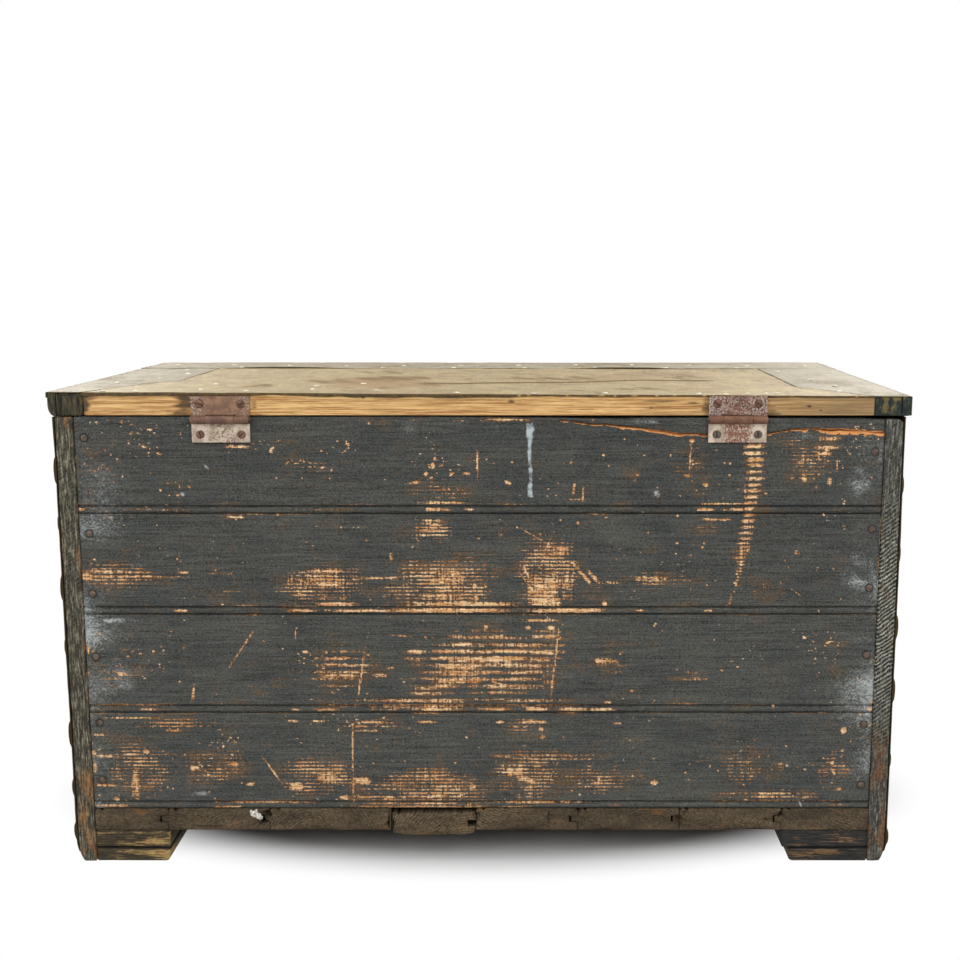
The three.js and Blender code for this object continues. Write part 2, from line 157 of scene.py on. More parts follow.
def drift(points, size, seed):
    """Smooth random values from -1 to 1, with swells of about the given size in mm on each axis."""
    cell = np.asarray(points, float) / np.array(size, float)
    base = np.floor(cell).astype(np.int64)
    part = cell - base
    part = part * part * (3 - 2 * part)
    total = np.zeros(len(cell))
    for corner in itertools.product((0, 1), repeat=3):
        key = ((base + corner) @ np.array([73856093, 19349663, 83492791]) + seed * 7919) & 0x7FFFFFFF
        key = ((key ^ (key >> 13)) * 1274126177) & 0x7FFFFFFF
        value = ((key ^ (key >> 11)) & 0xFFFF) / 32767.5 - 1
        total += value * np.where(corner, part, 1 - part).prod(axis=1)
    return total


def ramp(values, start, end):
    """0 up to the start, 1 from the end on, and evenly between them."""
    return np.clip((values - start) / (end - start), 0, 1)


def stations(low, high, step):
    """Evenly spaced places from low to high, at most a step apart."""
    return np.linspace(low, high, max(2, int(math.ceil((high - low) / step)) + 1))


def node_box(name):
    """A node's lowest and highest corner in mm."""
    return [np.array(corner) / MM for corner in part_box(name)]


def loft(rings):
    """The skin through a row of closed rings of points, with flat ends."""
    count, around = rings.shape[:2]
    index = np.arange(count * around).reshape(count, around)
    turned = np.roll(index, -1, axis=1)
    faces = np.stack([index[:-1], turned[:-1], turned[1:], index[1:]], axis=-1).reshape(-1, 4).tolist()
    faces += [index[0][::-1].tolist(), index[-1].tolist()]
    return rings.reshape(-1, 3), faces


def worn_bar(low, high, axis, arris, steps):
    """A bar from corner to corner along an axis: worn corners, and its skin split into steps."""
    across = [a for a in range(3) if a != axis]
    turns = np.radians([0, 30, 60, 90])
    sides = [stations(low[a] + arris, high[a] - arris, steps[a]) for a in across]
    rim = []
    for quarter, out in enumerate([(1, 0), (0, 1), (-1, 0), (0, -1)]):
        corner = (sides[0][0 if quarter > 1 else -1], sides[1][-1 if quarter in (1, 2) else 0])
        for turn in turns + (quarter - 1) * math.pi / 2:
            rim.append((*corner, math.cos(turn), math.sin(turn)))
        run = sides[(quarter + 1) % 2][1:-1]
        for place in run[::-1] if quarter in (1, 2) else run:
            rim.append((place, corner[1], *out) if quarter % 2 else (corner[0], place, *out))
    rim = np.array(rim)
    end_rows = [(arris * (1 - math.cos(t)), arris * (1 - math.sin(t))) for t in turns]
    rows = [(low[axis] + step, inset) for step, inset in end_rows]
    rows += [(place, 0) for place in stations(low[axis] + arris, high[axis] - arris, steps[axis])[1:-1]]
    rows += [(high[axis] - step, inset) for step, inset in reversed(end_rows)]
    rings = np.zeros((len(rows), len(rim), 3))
    for ring, (along, inset) in zip(rings, rows):
        ring[:, across] = rim[:, :2] + (arris - inset) * rim[:, 2:]
        ring[:, axis] = along
    return loft(rings)


def worn(points, low, high, arris, depth, seed, size=(30, 30, 30)):
    """Points of a bar, worn inwards: a little on its faces and most along its corners."""
    core = np.clip(points, np.array(low) + arris, np.array(high) - arris)
    outward = points - core
    outward /= np.maximum(np.linalg.norm(outward, axis=1, keepdims=True), 1e-6)
    cornered = 1 - np.abs(outward).max(axis=1)
    swell = 0.5 + 0.5 * drift(points, size, seed)
    nick = np.maximum(0, drift(points, (7, 7, 7), seed + 1) - 0.35)
    amount = depth * (0.25 * swell + 2.2 * cornered * swell + 1.6 * nick * (cornered > 0.05))
    return points - outward * amount[:, None]


crease_degrees = 38


def piece(name, parts, body, material, replaced=(), channels=None):
    """One object from the points, in mm, and faces of its parts, riding on a body with its finish."""
    points, faces, start = [], [], 0
    for part_points, part_faces in parts:
        points.append(part_points)
        faces += [[start + corner for corner in face] for face in part_faces]
        start += len(part_points)
    mesh = bpy.data.meshes.new(name)
    mesh.from_pydata((np.concatenate(points) * MM).tolist(), [], faces)
    skin = bmesh.new()
    skin.from_mesh(mesh)
    bmesh.ops.recalc_face_normals(skin, faces=skin.faces[:])
    skin.to_mesh(mesh)
    skin.free()
    mesh.shade_smooth()
    mesh.set_sharp_from_angle(angle=math.radians(crease_degrees))
    for channel, values in (channels or {}).items():
        held = mesh.attributes.new(channel, "FLOAT", "POINT")
        held.data.foreach_set("value", np.broadcast_to(values, start).astype(np.float32))
    mesh.materials.append(material)
    made = bpy.data.objects.new(name, mesh)
    bpy.context.scene.collection.objects.link(made)
    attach(made, body)
    if replaced:
        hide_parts(*replaced)
    return made


def start_finish(name, roughness, metallic=0.0, specular=0.3, channels=()):
    """A new material, its node tree and shader, the place on the piece in mm, and its mesh's channels."""
    material = bpy.data.materials.new(name)
    material.use_nodes = True
    tree = material.node_tree
    shader = tree.nodes["Principled BSDF"]
    shader.inputs["Roughness"].default_value = roughness
    shader.inputs["Metallic"].default_value = metallic
    if not metallic:
        shader.inputs["Specular IOR Level"].default_value = specular
    where = add(tree, "TexCoord", {}).node.outputs["Object"]
    place = add(tree, "VectorMath", {0: where, "Scale": 1 / MM}, operation="SCALE")
    carried = [add(tree, "Attribute", {}, attribute_name=name).node.outputs["Fac"] for name in channels]
    return material, tree, shader, place, *carried


# Wood fibres, dust and grit are finer than the render can show, so they are drawn about 1 mm coarse.
def figure(tree, place, size, detail, roughness=0.6):
    """Noise drawn out to a size in mm along each axis, such as the streaks of wood grain."""
    drawn = add(tree, "VectorMath", {0: place, 1: [1 / s for s in size]}, operation="MULTIPLY")
    settings = {"Vector": drawn, "Scale": 1.0, "Detail": detail, "Roughness": roughness}
    return add(tree, "TexNoise", settings)


def summed(tree, parts, total=0.0):
    """The sum of some figures, each times its weight."""
    for value, weight in parts:
        total = add(tree, "Math", {0: value, 1: weight, 2: total}, operation="MULTIPLY_ADD")
    return total


def eased(tree, parts, low, high, most=1.0):
    """A share that grows smoothly as a sum of figures, each times its weight, goes from low to high."""
    inputs = {0: summed(tree, parts), 1: low, 2: high, 4: most}
    return add(tree, "MapRange", inputs, interpolation_type="SMOOTHSTEP")


def coat(tree, under, over, parts, low, high, most=1.0):
    """Lays one colour over another, more of it as the sum of its figures goes from low to high."""
    under, over = [linear(colour) if isinstance(colour, str) else colour for colour in (under, over)]
    share = eased(tree, parts, low, high, most)
    return add(tree, "Mix", {0: share, 6: under, 7: over}, data_type="RGBA")


def shaded(tree, colour, cause, low, high, darkest, lightest):
    """Darkens or lightens a colour as a figure goes from low to high."""
    shade = add(tree, "MapRange", {0: cause, 1: low, 2: high, 3: darkest, 4: lightest})
    return add(tree, "VectorMath", {0: colour, "Scale": shade}, operation="SCALE")


def finished(tree, shader, colour, height, strength, depth):
    """Gives the shader its colour, and relief from a height with its depth in mm."""
    tree.links.new(colour, shader.inputs["Base Color"])
    bump = add(tree, "Bump", {"Height": height, "Strength": strength, "Distance": depth * MM})
    tree.links.new(bump, shader.inputs["Normal"])


def old_pine(name, grain, dark, light, warm, warmth, relief):
    """Dirty bare pine: dull streaks along the grain, with rubbed warm patches, quite matt."""
    material, tree, shader, place = start_finish(name, 0.78)
    streak = figure(tree, place, grain, 6)
    blotch = figure(tree, place, (26, 26, 26), 5)
    fine = figure(tree, place, [max(0.5, g / 3) for g in grain], 3)
    base = coat(tree, dark, light, [(streak, 1)], 0.36, 0.64)
    tint = coat(tree, base, warm, [(blotch, streak)], 0.34 - 0.12 * warmth, 0.42 - 0.1 * warmth)
    finished(tree, shader, shaded(tree, tint, fine, 0.3, 0.55, 0.62, 1.1), streak, relief, 0.8)
    return material


def waves(tree, distance, pitch, bend, reach):
    """Even waves a pitch apart over a distance in mm, bent by a figure times its reach."""
    bent = add(tree, "Math", {0: bend, 1: reach, 2: distance}, operation="MULTIPLY_ADD")
    turn = add(tree, "Math", {0: bent, 1: 2 * math.pi / pitch}, operation="MULTIPLY")
    return add(tree, "Math", {0: turn}, operation="SINE")


sawn_pitch = 3.9
sawn_slope = 0.72


def sawn_edge(name, dark, light, warm, streaky):
    """Rear edge of an end board: dark dirty pine, lighter on the slanting ridges the saw left."""
    material, tree, shader, place, sawn, foot = start_finish(name, 0.72, channels=("sawn", "rubbed"))
    wobble = figure(tree, place, (14, 9, 22), 3)
    axes = add(tree, "SeparateXYZ", {0: place}).node.outputs
    lean = add(tree, "Math", {0: axes["X"], 1: sawn_slope, 2: axes["Z"]}, operation="MULTIPLY_ADD")
    wave = waves(tree, lean, sawn_pitch, wobble, 8.0)
    ridge = eased(tree, [(wave, 1)], -0.2, 0.9)
    torn = figure(tree, place, (4, 4, 5), 5, 0.75)
    torn = add(tree, "MapRange", {0: torn, 1: 0.42, 2: 0.56, 3: 0.25})
    for share in (sawn, torn):
        ridge = add(tree, "Math", {0: ridge, 1: share}, operation="MULTIPLY")
    streak = figure(tree, place, (1.6, 4, 16), 6, 0.7)
    tone = eased(tree, [(streak, 1)], 0.45, 0.66, streaky)
    tone = add(tree, "Math", {0: ridge, 1: tone}, operation="MAXIMUM")
    base = add(tree, "Mix", {0: tone, 6: linear(dark), 7: linear(light)}, data_type="RGBA")
    blotch = figure(tree, place, (9, 20, 34), 5)
    tint = coat(tree, base, warm, [(blotch, 1), (foot, 0.14)], 0.6, 0.78, 0.8)
    grit = figure(tree, place, (2.4, 2.4, 3.6), 6, 0.85)
    dusk = add(tree, "MapRange", {0: grit, 1: 0.38, 2: 0.64, 3: 0.35, 4: 1.75})
    # The troughs between the saw's ridges are drawn darker: painted shade.
    trough_shade = add(tree, "MapRange", {0: wave, 1: -1.0, 2: 0.1, 3: 0.62, 4: 0.0})
    trough_shade = add(tree, "Math", {0: trough_shade, 1: sawn}, operation="MULTIPLY")
    dusk = add(tree, "Math", {0: dusk, 1: trough_shade}, operation="SUBTRACT")
    dusk = add(tree, "Math", {0: dusk, 1: 0.16}, operation="MAXIMUM")
    shade = add(tree, "VectorMath", {0: tint, "Scale": dusk}, operation="SCALE")
    height = add(tree, "Math", {0: ridge, 1: 0.6, 2: streak}, operation="MULTIPLY_ADD")
    finished(tree, shader, shade, height, 0.7, 0.7)
    return material


end_grey = sawn_edge("dark_paint_on_sawn_pine_left", "2e2c27", "b3b3a2", "6f4c30", 0.45)
end_brown = sawn_edge("dark_paint_on_sawn_pine_right", "332f26", "a09a82", "8f6336", 0.7)
end_arris = 1.4
end_foot_height = 14
end_foot_wear = 5
# For each side: which way it faces, its finish, the height where the saw's marks are deepest, how far
# they reach from there, how deep they are, and how far up from the ground the edge is rubbed.
end_looks = {
    "left": (-1, end_grey, 225, 105, 1, 170),
    "right": (1, end_brown, 300, 120, 0.16, 130),
}
for side, (sign, finish, middle, reach, strength, rubbed_up_to) in end_looks.items():
    low, high = node_box(f"{side}_end_board_rear")
    points, faces = worn_bar(low, high, 2, end_arris, (1.6, 14, 2.2))
    points = worn(points, low, high, end_arris, 0.7, 11 + sign)
    x, y, z = points.T
    outside = high[0] if sign > 0 else low[0]
    inward = np.abs(x - outside) / (high[0] - low[0])
    x -= sign * end_foot_wear * ramp(z, low[2] + end_foot_height, low[2]) ** 2 * (1 - inward)
    slant = (z + sawn_slope * x) * 2 * math.pi / sawn_pitch
    swirl = drift(points, (12, 200, 40), 31 + sign)
    sawn = np.clip(1.35 - np.abs(z - middle) / reach, 0.12, 1) * strength
    rear = y > high[1] - 2 * end_arris
    y -= np.where(rear, 0.22 * sawn * (1 + np.sin(slant + 4 * swirl)), 0)
    splits = np.maximum(0, drift(points, (2.4, 60, 45), 41 + sign) - 0.45)
    y -= np.where(rear, 3.0 * splits, 0)
    if side == "left":
        z -= ramp(z, high[2] - 30, high[2]) * (2.2 + 3.5 * np.clip(1 - inward * 3.2, 0, 1) ** 2)
    rubbed = ramp(z, rubbed_up_to, 0) + 0.25
    if side == "right":
        rubbed += 0.9 * ramp(z, 392, 404)
    name = f"{side}_end_board_rear_sawn"
    channels = {"sawn": sawn, "rubbed": rubbed}
    piece(name, [(points, faces)], "carcass", finish, [f"{side}_end_board_rear"], channels)


def finished_node(name, material):
    """A node of the CAD model that stays as it is, with its real finish."""
    nodes[name].data.materials.clear()
    nodes[name].data.materials.append(material)
    return nodes[name]


# Pine that was never painted: warm brown, even and matt, with its grain upright on the ends.
inside_pine = old_pine("aged_bare_pine_inside", (2.2, 2.2, 60), "6d4f30", "94724a", "a57c4b", 0.3, 0.3)
for side in ("left", "right"):
    finished_node(f"{side}_end_board_front", inside_pine)

# The corner cleats. Square pine sticks glued upright in the four inside corners. The nails through
# the back boards and the brass tacks at the corners hold in them.
cleat_arris = 1.2
for place_name, side in itertools.product(("front", "rear"), ("left", "right")):
    node = f"corner_cleat_{place_name}_{side}"
    low, high = node_box(node)
    points, faces = worn_bar(low, high, 2, cleat_arris, (5, 5, 9))
    points = worn(points, low, high, cleat_arris, 0.5, 61)
    piece(node + "_stick", [(points, faces)], "carcass", inside_pine, [node])

# The front boards. Two wide planed pine boards between the ends, bare inside the chest and hidden
# behind the brass outside.
# The same bare pine, with its grain from end to end.
front_pine = old_pine("planed_pine_inside", (60, 2.2, 2.2), "6d4f30", "94724a", "a57c4b", 0.3, 0.3)
for node in ("front_board_lower", "front_board_upper"):
    finished_node(node, front_pine)

# The back. Four beaded tongue and groove pine boards, laid flat and nailed to the cleats. They were
# brushed with thin black paint, since rubbed through to orange wood along ridges, beads and edges.
bead_radius = 3.2
quirk_width = 1.8
quirk_depth = 2.6
tongue_thickness = 6
tongue_length = 6.1
groove_depth = 7.6
joint_gap = 0.4
lapped = tongue_length + joint_gap
face_step = 1.0


def matched_ring(width, thickness, tongue, groove, step):
    """The end of a beaded board: across from its groove edge, and up to its beaded face."""
    half = tongue_thickness / 2
    middle = thickness / 2
    bead_middle = width - bead_radius
    ring = [(across, 0) for across in stations(0, width, 12)]
    if tongue:
        ring += [(width, middle - half), (width + tongue_length, middle - half + 0.6)]
        ring += [(width + tongue_length, middle + half - 0.6), (width, middle + half)]
    ring.append((width, thickness - 2 * bead_radius))
    for turn in np.radians(np.linspace(-12, 180, 13)):
        lift = bead_radius * math.sin(turn) + thickness - bead_radius
        ring.append((bead_middle + bead_radius * math.cos(turn), lift))
    ring.append((width - 2 * bead_radius, thickness - quirk_depth))
    ring.append((width - 2 * bead_radius - 0.5, thickness - quirk_depth))
    ring.append((width - 2 * bead_radius - quirk_width * 0.8, thickness - 0.5))
    flat_end = width - 2 * bead_radius - quirk_width
    ring += [(across, thickness) for across in stations(1.0, flat_end, step)[::-1]]
    ring += [(0.3, thickness - 0.4), (0, thickness - 1.2)]
    if groove:
        ring += [(0, middle + half + 0.3), (groove_depth, middle + half + 0.3)]
        ring += [(groove_depth, middle - half - 0.3), (0, middle - half - 0.3)]
    return np.array(ring)


def listed(*coordinates):
    """Coordinates from grids or rows of the same length, as a list of points."""
    return np.stack([np.ravel(values) for values in coordinates], axis=1)


def drawn_out(outline, axis, places):
    """A bar with the same outline from the first to the last of its places along an axis."""
    rings = np.repeat(outline[None], len(places), axis=0)
    rings[:, :, axis] = np.array(places)[:, None]
    return loft(rings)


# Where the paint is rubbed through, in mm on the back: across and up from the chest's middle line and
# the ground, length, height, lean in degrees, how bare it is, the pitch of the ridges that kept paint
# between them, and how much the patch narrows upwards.
rubs = {
    1: [
        (212, 386, 22, 3, -2), (153, 376, 5, 5, -40, 0.5), (-22, 410, 40, 2), (-186, 391, 6, 4),
        (-185, 376, 2, 32), (-183, 360, 9, 3, -10), (-199, 352, 6, 4), (-139, 361, 5, 6, -40, 0.5),
        (-283, 372, 12, 12, 0, 0.5), (-286, 357, 9, 4, -20, 0.8), (-306, 393, 18, 4, 0, 0.9),
        (-305, 385, 22, 3), (-302, 380, 18, 3, 0, 0.9), (-314, 370, 2, 12), (-308, 355, 5, 10, 0, 0.8),
        (-299, 375, 8, 2, -50, 0.6), (-216, 335, 46, 2), (-149, 336, 53, 1.5, 0, 0.5), (2, 371, 2, 24),
        (12, 362, 9, 2.5), (41, 369, 4, 6), (34, 369, 4, 5), (39, 375, 4, 4), (47, 362, 6, 4, 20),
        (57, 354, 11, 3, 6), (32, 336, 43, 2.5), (32, 349, 11, 2, 0, 0.6), (-25, 354, 4, 6, -60),
        (-83, 349, 2.5, 12, 8), (-91, 343, 2, 17, 4), (-84, 339, 12, 2), (244, 336, 80, 1.2, 0, 0.5),
        (282, 380, 8, 2, -15), (294, 386, 6, 3, -35), (288, 401, 5, 3), (45, 330, 6, 4), (36, 330, 21, 3),
        (9, 330, 9, 2.5), (-200, 330, 15, 3), (-230, 330, 32, 2.5), (352, 330, 7, 3),
    ],
    2: [
        (216, 323, 16, 2.5), (41, 320, 20, 2.5), (39, 316, 12, 2), (44, 311, 20, 2.5), (49, 307, 16, 2.5),
        (79, 287, 4, 11, 0, 0.8), (-72, 295, 16, 2.5), (-72, 291, 14, 2.5), (-50, 305, 1.2, 30, -60),
        (-60, 298, 1.5, 15, 25), (-208, 321, 30, 2.5), (148, 268, 59, 16, 0, 0.6, 2.9),
        (136, 274, 36, 4, 0, 0.9), (89, 268, 50, 2.5, 0, 0.9), (135, 262, 22, 4),
        (130, 250, 41, 6, 0, 0.5), (128, 244, 38, 4), (159, 242, 43, 1.5),
        (29, 264, 47, 31, 0, 0.6, 3.7, 0.6), (34, 252, 38, 4, 0, 0.9), (29, 248, 54, 3, 0, 0.8, 2.3),
        (17, 244, 100, 4), (16, 242, 116, 2), (31, 285, 3, 12, 0, 0.6), (5, 260, 5, 5),
        (4, 250, 8, 8, 0, 0.8), (-56, 257, 31, 31, 0, 0.8, 3.1), (-58, 246, 29, 9),
        (-78, 259, 12, 35, 0, 0.6, 3.1), (-41, 274, 2, 16, -24), (-38, 269, 1.5, 13, -30),
        (-66, 263, 2.5, 30, 0, 0.9), (-84, 280, 3, 12, -45), (-93, 269, 3.5, 18, -42),
        (333, 274, 45, 2.5), (310, 269, 91, 2), (350, 269, 11, 10, 0, 0.9, 3.7),
        (346, 283, 5, 16, 0, 0.5), (264, 273, 11, 2.5), (236, 272, 36, 1.5, 0, 0.8),
        (267, 289, 2, 9, 10, 0.8), (-153, 266, 41, 8, 0, 0.6, 2.7), (-101, 269, 3.5, 16, -40),
        (-117, 264, 15, 2.5, 0, 0.9), (-111, 244, 6, 5, -50), (-275, 266, 12, 2.5, 0, 0.6),
        (-283, 254, 18, 1.5, -35, 0.8), (-281, 291, 6, 5, 0, 0.8), (247, 269, 18, 1, 0, 0.6),
        (267, 238, 13, 2.5), (160, 238, 27, 2.5), (106, 238, 63, 3), (26, 238, 116, 4), (-77, 238, 72, 4),
        (-143, 238, 9, 3.5), (-204, 238, 8, 3), (240, 234, 170, 2, 0, 0.5), (-303, 234, 38, 1.5, 0, 0.6),
    ],
    3: [
        (-54, 229, 34, 2.5), (342, 217, 11, 2, -30), (352, 202, 5, 10, 0, 0.7), (355, 180, 9, 5, 0, 0.8),
        (322, 179, 12, 4, 0, 0.9), (320, 178, 27, 2, 0, 0.7), (320, 202, 9, 3, 0, 0.6),
        (216, 201, 2.5, 56, 34, 0.8), (260, 161, 3.5, 19, 8, 0.8), (318, 150, 74, 2), (166, 216, 1.5, 11),
        (158, 200, 8, 4), (19, 214, 24, 4, 0, 0.8), (-17, 214, 16, 4, 0, 0.8), (-58, 214, 24, 4),
        (-42, 222, 6, 4), (-62, 222, 10, 4), (-5, 223, 5, 4), (72, 215, 18, 1.5, -4),
        (4, 206, 24, 4, 0, 0.6), (-38, 206, 52, 4, 0, 0.8), (58, 200, 18, 4), (0, 200, 60, 4, 0, 0.8),
        (-58, 199, 26, 4, 0, 0.8), (58, 192, 15, 4, 0, 0.6), (0, 192, 61, 4), (-54, 192, 31, 4, 0, 0.7),
        (19, 185, 48, 4, 0, 0.8), (-40, 185, 54, 4, 0, 0.5), (20, 179, 47, 4, 0, 0.8),
        (-61, 178, 14, 4, 0, 0.6), (22, 172, 50, 4, 0, 0.85), (-14, 171, 13, 2, -14),
        (-61, 172, 14, 4, 0, 0.7), (49, 166, 26, 4, 0, 0.8), (-30, 166, 75, 2, 0, 0.8),
        (49, 161, 33, 4, 0, 0.8), (94, 154, 34, 2, 0, 0.8), (34, 154, 51, 4, 0, 0.8),
        (-39, 154, 60, 3, 0, 0.7), (-67, 192, 1.8, 78, 6), (18, 150, 255, 1.6), (108, 177, 1.8, 51, 9),
        (140, 192, 4, 8, 0, 0.6), (127, 178, 34, 3), (91, 178, 12, 4), (81, 185, 9, 3, 0, 0.8),
        (-113, 191, 22, 4), (-127, 199, 10, 1.5, 38), (-194, 179, 31, 8, -4, 0.45, 2.8),
        (-115, 153, 7, 3), (-247, 150, 27, 1.5, 0, 0.9), (302, 146, 16, 2), (168, 146, 9, 2.5),
        (141, 146, 24, 2.5), (38, 146, 40, 3.5), (86, 146, 46, 2, 0, 0.8), (-16, 146, 24, 3),
        (-51, 146, 22, 3.5), (-86, 146, 36, 3), (-108, 146, 31, 3), (-352, 146, 6, 4),
    ],
    4: [
        (316, 138, 46, 2), (309, 129, 33, 1.5, 0, 0.7), (280, 126, 18, 2), (271, 133, 4, 10, 0, 0.6),
        (347, 122, 12, 2.5), (343, 102, 26, 3), (353, 105, 5, 5), (305, 106, 7, 5),
        (283, 104, 33, 1.5, 0, 0.7), (316, 75, 9, 35, 0, 0.85, 1.9, 0.3), (353, 90, 6, 12, 0, 0.9),
        (344, 74, 23, 2.5), (261, 90, 11, 5), (252, 88, 1.8, 20, -36), (256, 87, 1.8, 18, -36, 0.8),
        (226, 94, 11, 5), (190, 87, 2, 30, -33), (211, 75, 9, 3, 8), (169, 73, 14, 7),
        (168, 87, 1.5, 18, 40, 0.8), (295, 79, 26, 2.5, 0, 0.8), (299, 64, 1.5, 14, 0, 0.7),
        (198, 57, 86, 1.5), (334, 60, 6, 6), (257, 79, 18, 1.2, 0, 0.5), (170, 135, 12, 2.5),
        (148, 135, 12, 2.5), (147, 81, 9, 8, 0, 0.7), (101, 134, 28, 2.5), (108, 130, 14, 2),
        (102, 126, 22, 2), (49, 134, 19, 2.5), (-17, 134, 9, 3), (-47, 134, 25, 3), (-54, 127, 6, 4),
        (-56, 120, 6, 4), (138, 80, 21, 11, 0, 0.85, 1.9), (109, 78, 17, 8, 0, 0.9), (88, 70, 60, 1.5),
        (88, 74, 61, 1.5, 0, 0.8), (134, 69, 33, 1.5, 0, 0.7), (125, 62, 10, 5), (110, 62, 15, 3),
        (84, 61, 12, 6, 0, 0.9), (71, 62, 8, 4, 0, 0.8), (43, 63, 22, 2.5, 8), (18, 63, 8, 6, 0, 0.7),
        (31, 78, 82, 25, 0, 0.42, 2.2), (50, 82, 6, 4, 0, 0.8), (8, 72, 6, 6, 0, 0.8),
        (-31, 86, 15, 8, 0, 0.8), (-41, 79, 19, 6, -15, 0.9), (-41, 72, 19, 10, 0, 0.5, 2.2),
        (-35, 62, 6, 8, 0, 0.7, 2.2), (-55, 102, 88, 4, 0, 0.5), (-19, 102, 17, 3, 0, 0.8),
        (-67, 89, 1.2, 36, 28, 0.9), (-53, 57, 92, 1.6), (117, 98, 2, 84, 0.5), (-124, 133, 11, 2),
        (-106, 76, 11, 4, 0, 0.8), (-158, 76, 8, 6, 25), (-239, 108, 22, 10, 0, 0.42, 3.8),
        (-243, 85, 15, 15, 0, 0.4, 2.9), (-270, 92, 22, 11, 0, 0.5), (-320, 95, 5, 5),
        (-321, 87, 3, 8, -25), (-310, 88, 12, 3, 0, 0.7), (-329, 126, 6, 7), (-327, 70, 8, 3),
        (-234, 66, 46, 1.5, 0, 0.9), (-271, 66, 20, 1.5, 0, 0.7), (-295, 62, 10, 2.5),
        (-284, 58, 140, 1.5, 0, 0.9), (-242, 59, 8, 3), (338, 54, 31, 3), (232, 53, 30, 2.5),
        (58, 53, 136, 2.5), (-30, 53, 37, 2.5, 0, 0.8),
    ],
}
# The scratch down boards 1 and 2 under one hinge: at each height its middle, width and chip pitch.
ladder_heights = (391, 359, 342, 321, 289, 274, 257, 242)
ladder_places = (-241, -242, -239, -237.5, -233, -230.5, -226.5, -220.5)
ladder_widths = (19, 18, 15, 15, 13, 6, 3.2, 5)
ladder_pitches = (5.6, 5.4, 5.0, 5.0, 3.4, 2.8, 2.6, 2.6)
# The long split near the top of board 1, on both sides of a hinge: places across and up.
split_lines = [
    [(-70, 410), (-115, 405.6), (-150, 401), (-174, 398), (-200, 396.5)],
    [(-250, 397.5), (-266, 401), (-287, 402.7), (-315, 402), (-345, 400), (-356, 399.5)],
]
# Groups of small chips: across, up, spread and how many.
chip_groups = [
    (332, 366, 16, 9), (266, 349, 9, 6), (318, 388, 26, 4), (150, 378, 30, 7), (40, 360, 20, 6),
    (-110, 375, 40, 9), (-200, 370, 30, 8), (-300, 370, 24, 12), (120, 300, 120, 14),
    (-60, 300, 60, 14), (-230, 280, 60, 10), (300, 280, 50, 8), (330, 190, 26, 9), (160, 190, 40, 7),
    (20, 190, 60, 12), (-180, 190, 80, 10), (-310, 180, 30, 6), (290, 100, 60, 14), (100, 100, 90, 12),
    (0, 80, 60, 14), (-100, 85, 50, 12), (-300, 90, 40, 12), (-220, 80, 60, 8),
]
# Patches with a thin film left: across, up, length, height, and how bare they are in the middle.
thin_patches = {
    1: [
        (-285, 375, 60, 60, 0.42), (-185, 370, 60, 60, 0.3), (35, 345, 70, 26, 0.42),
        (150, 372, 60, 34, 0.34), (-90, 345, 70, 20, 0.3), (20, 410, 240, 8, 0.3),
        (330, 375, 50, 50, 0.3),
    ],
    2: [
        (34, 262, 120, 62, 0.56), (-60, 272, 70, 84, 0.54), (145, 264, 100, 44, 0.5),
        (320, 270, 90, 34, 0.46), (-158, 266, 80, 22, 0.42), (45, 312, 50, 30, 0.5),
        (-215, 312, 60, 18, 0.4), (-250, 262, 90, 30, 0.3), (-110, 262, 40, 40, 0.36),
        (220, 256, 70, 50, 0.3),
    ],
    3: [
        (0, 188, 160, 76, 0.58), (125, 186, 80, 50, 0.46), (-118, 190, 50, 44, 0.34),
        (-60, 205, 40, 56, 0.5), (30, 152, 270, 16, 0.52), (330, 180, 50, 34, 0.4),
        (195, 172, 60, 40, 0.3), (-190, 176, 60, 16, 0.36),
    ],
    4: [
        (312, 92, 80, 74, 0.48), (240, 92, 80, 50, 0.42), (150, 82, 90, 44, 0.56),
        (44, 74, 120, 44, 0.58), (-40, 84, 70, 60, 0.56), (-108, 80, 90, 40, 0.42),
        (-240, 90, 60, 50, 0.42), (-322, 90, 44, 50, 0.44), (100, 132, 90, 14, 0.46),
        (-40, 128, 60, 24, 0.44), (270, 132, 110, 14, 0.44), (-270, 64, 120, 14, 0.5),
        (60, 60, 160, 16, 0.52), (-60, 100, 120, 16, 0.46),
    ],
}
# Grey scuffs: across, up, length, height, lean and strength.
scuffs = [
    (62, 402, 14, 18, 0, 0.8), (18, 404, 9, 12, 0, 0.7), (123, 380, 8, 12, 0, 0.6),
    (-145, 408, 30, 5, 0, 0.9), (-156, 344, 8, 6, 30, 1.2), (-284, 395, 22, 8, 0, 1.0),
    (-335, 356, 30, 32, 0, 0.95), (349, 312, 18, 30, 0, 0.8), (352, 262, 12, 30, 0, 0.6),
    (225, 313, 14, 10, 0, 0.6), (307, 279, 18, 5, 0, 0.8), (-338, 272, 34, 50, 0, 0.95),
    (330, 229, 60, 6, 0, 0.9), (326, 176, 50, 36, 0, 0.85), (-342, 214, 26, 14, 0, 0.8),
    (258, 66, 18, 5, 0, 1.2), (150, 60, 1.6, 7, -30, 1.4), (-292, 56, 1.6, 9, -25, 1.4),
    (208, 284, 24, 1.6, 45, 0.9), (-330, 108, 5, 4, 0, 1.3), (240, 368, 10, 3, 40, 1.2),
    (262, 344, 5, 4, 40, 1.2), (-20, 405, 60, 8, 0, 0.55),
]


def oval(across, up, spot):
    """How far places lie from a spot's middle, where 1 is the edge of an oval of its length and height."""
    return np.hypot((across - spot[0]) / (spot[2] / 2), (up - spot[1]) / (spot[3] / 2))


def leaning(points, x, z, lean):
    """How far points of the back lie along and up from a place, on axes that lean by some degrees."""
    angle = math.radians(lean)
    dx, dz = points[:, 0] - x, points[:, 2] - z
    return dx * math.cos(angle) + dz * math.sin(angle), dz * math.cos(angle) - dx * math.sin(angle)


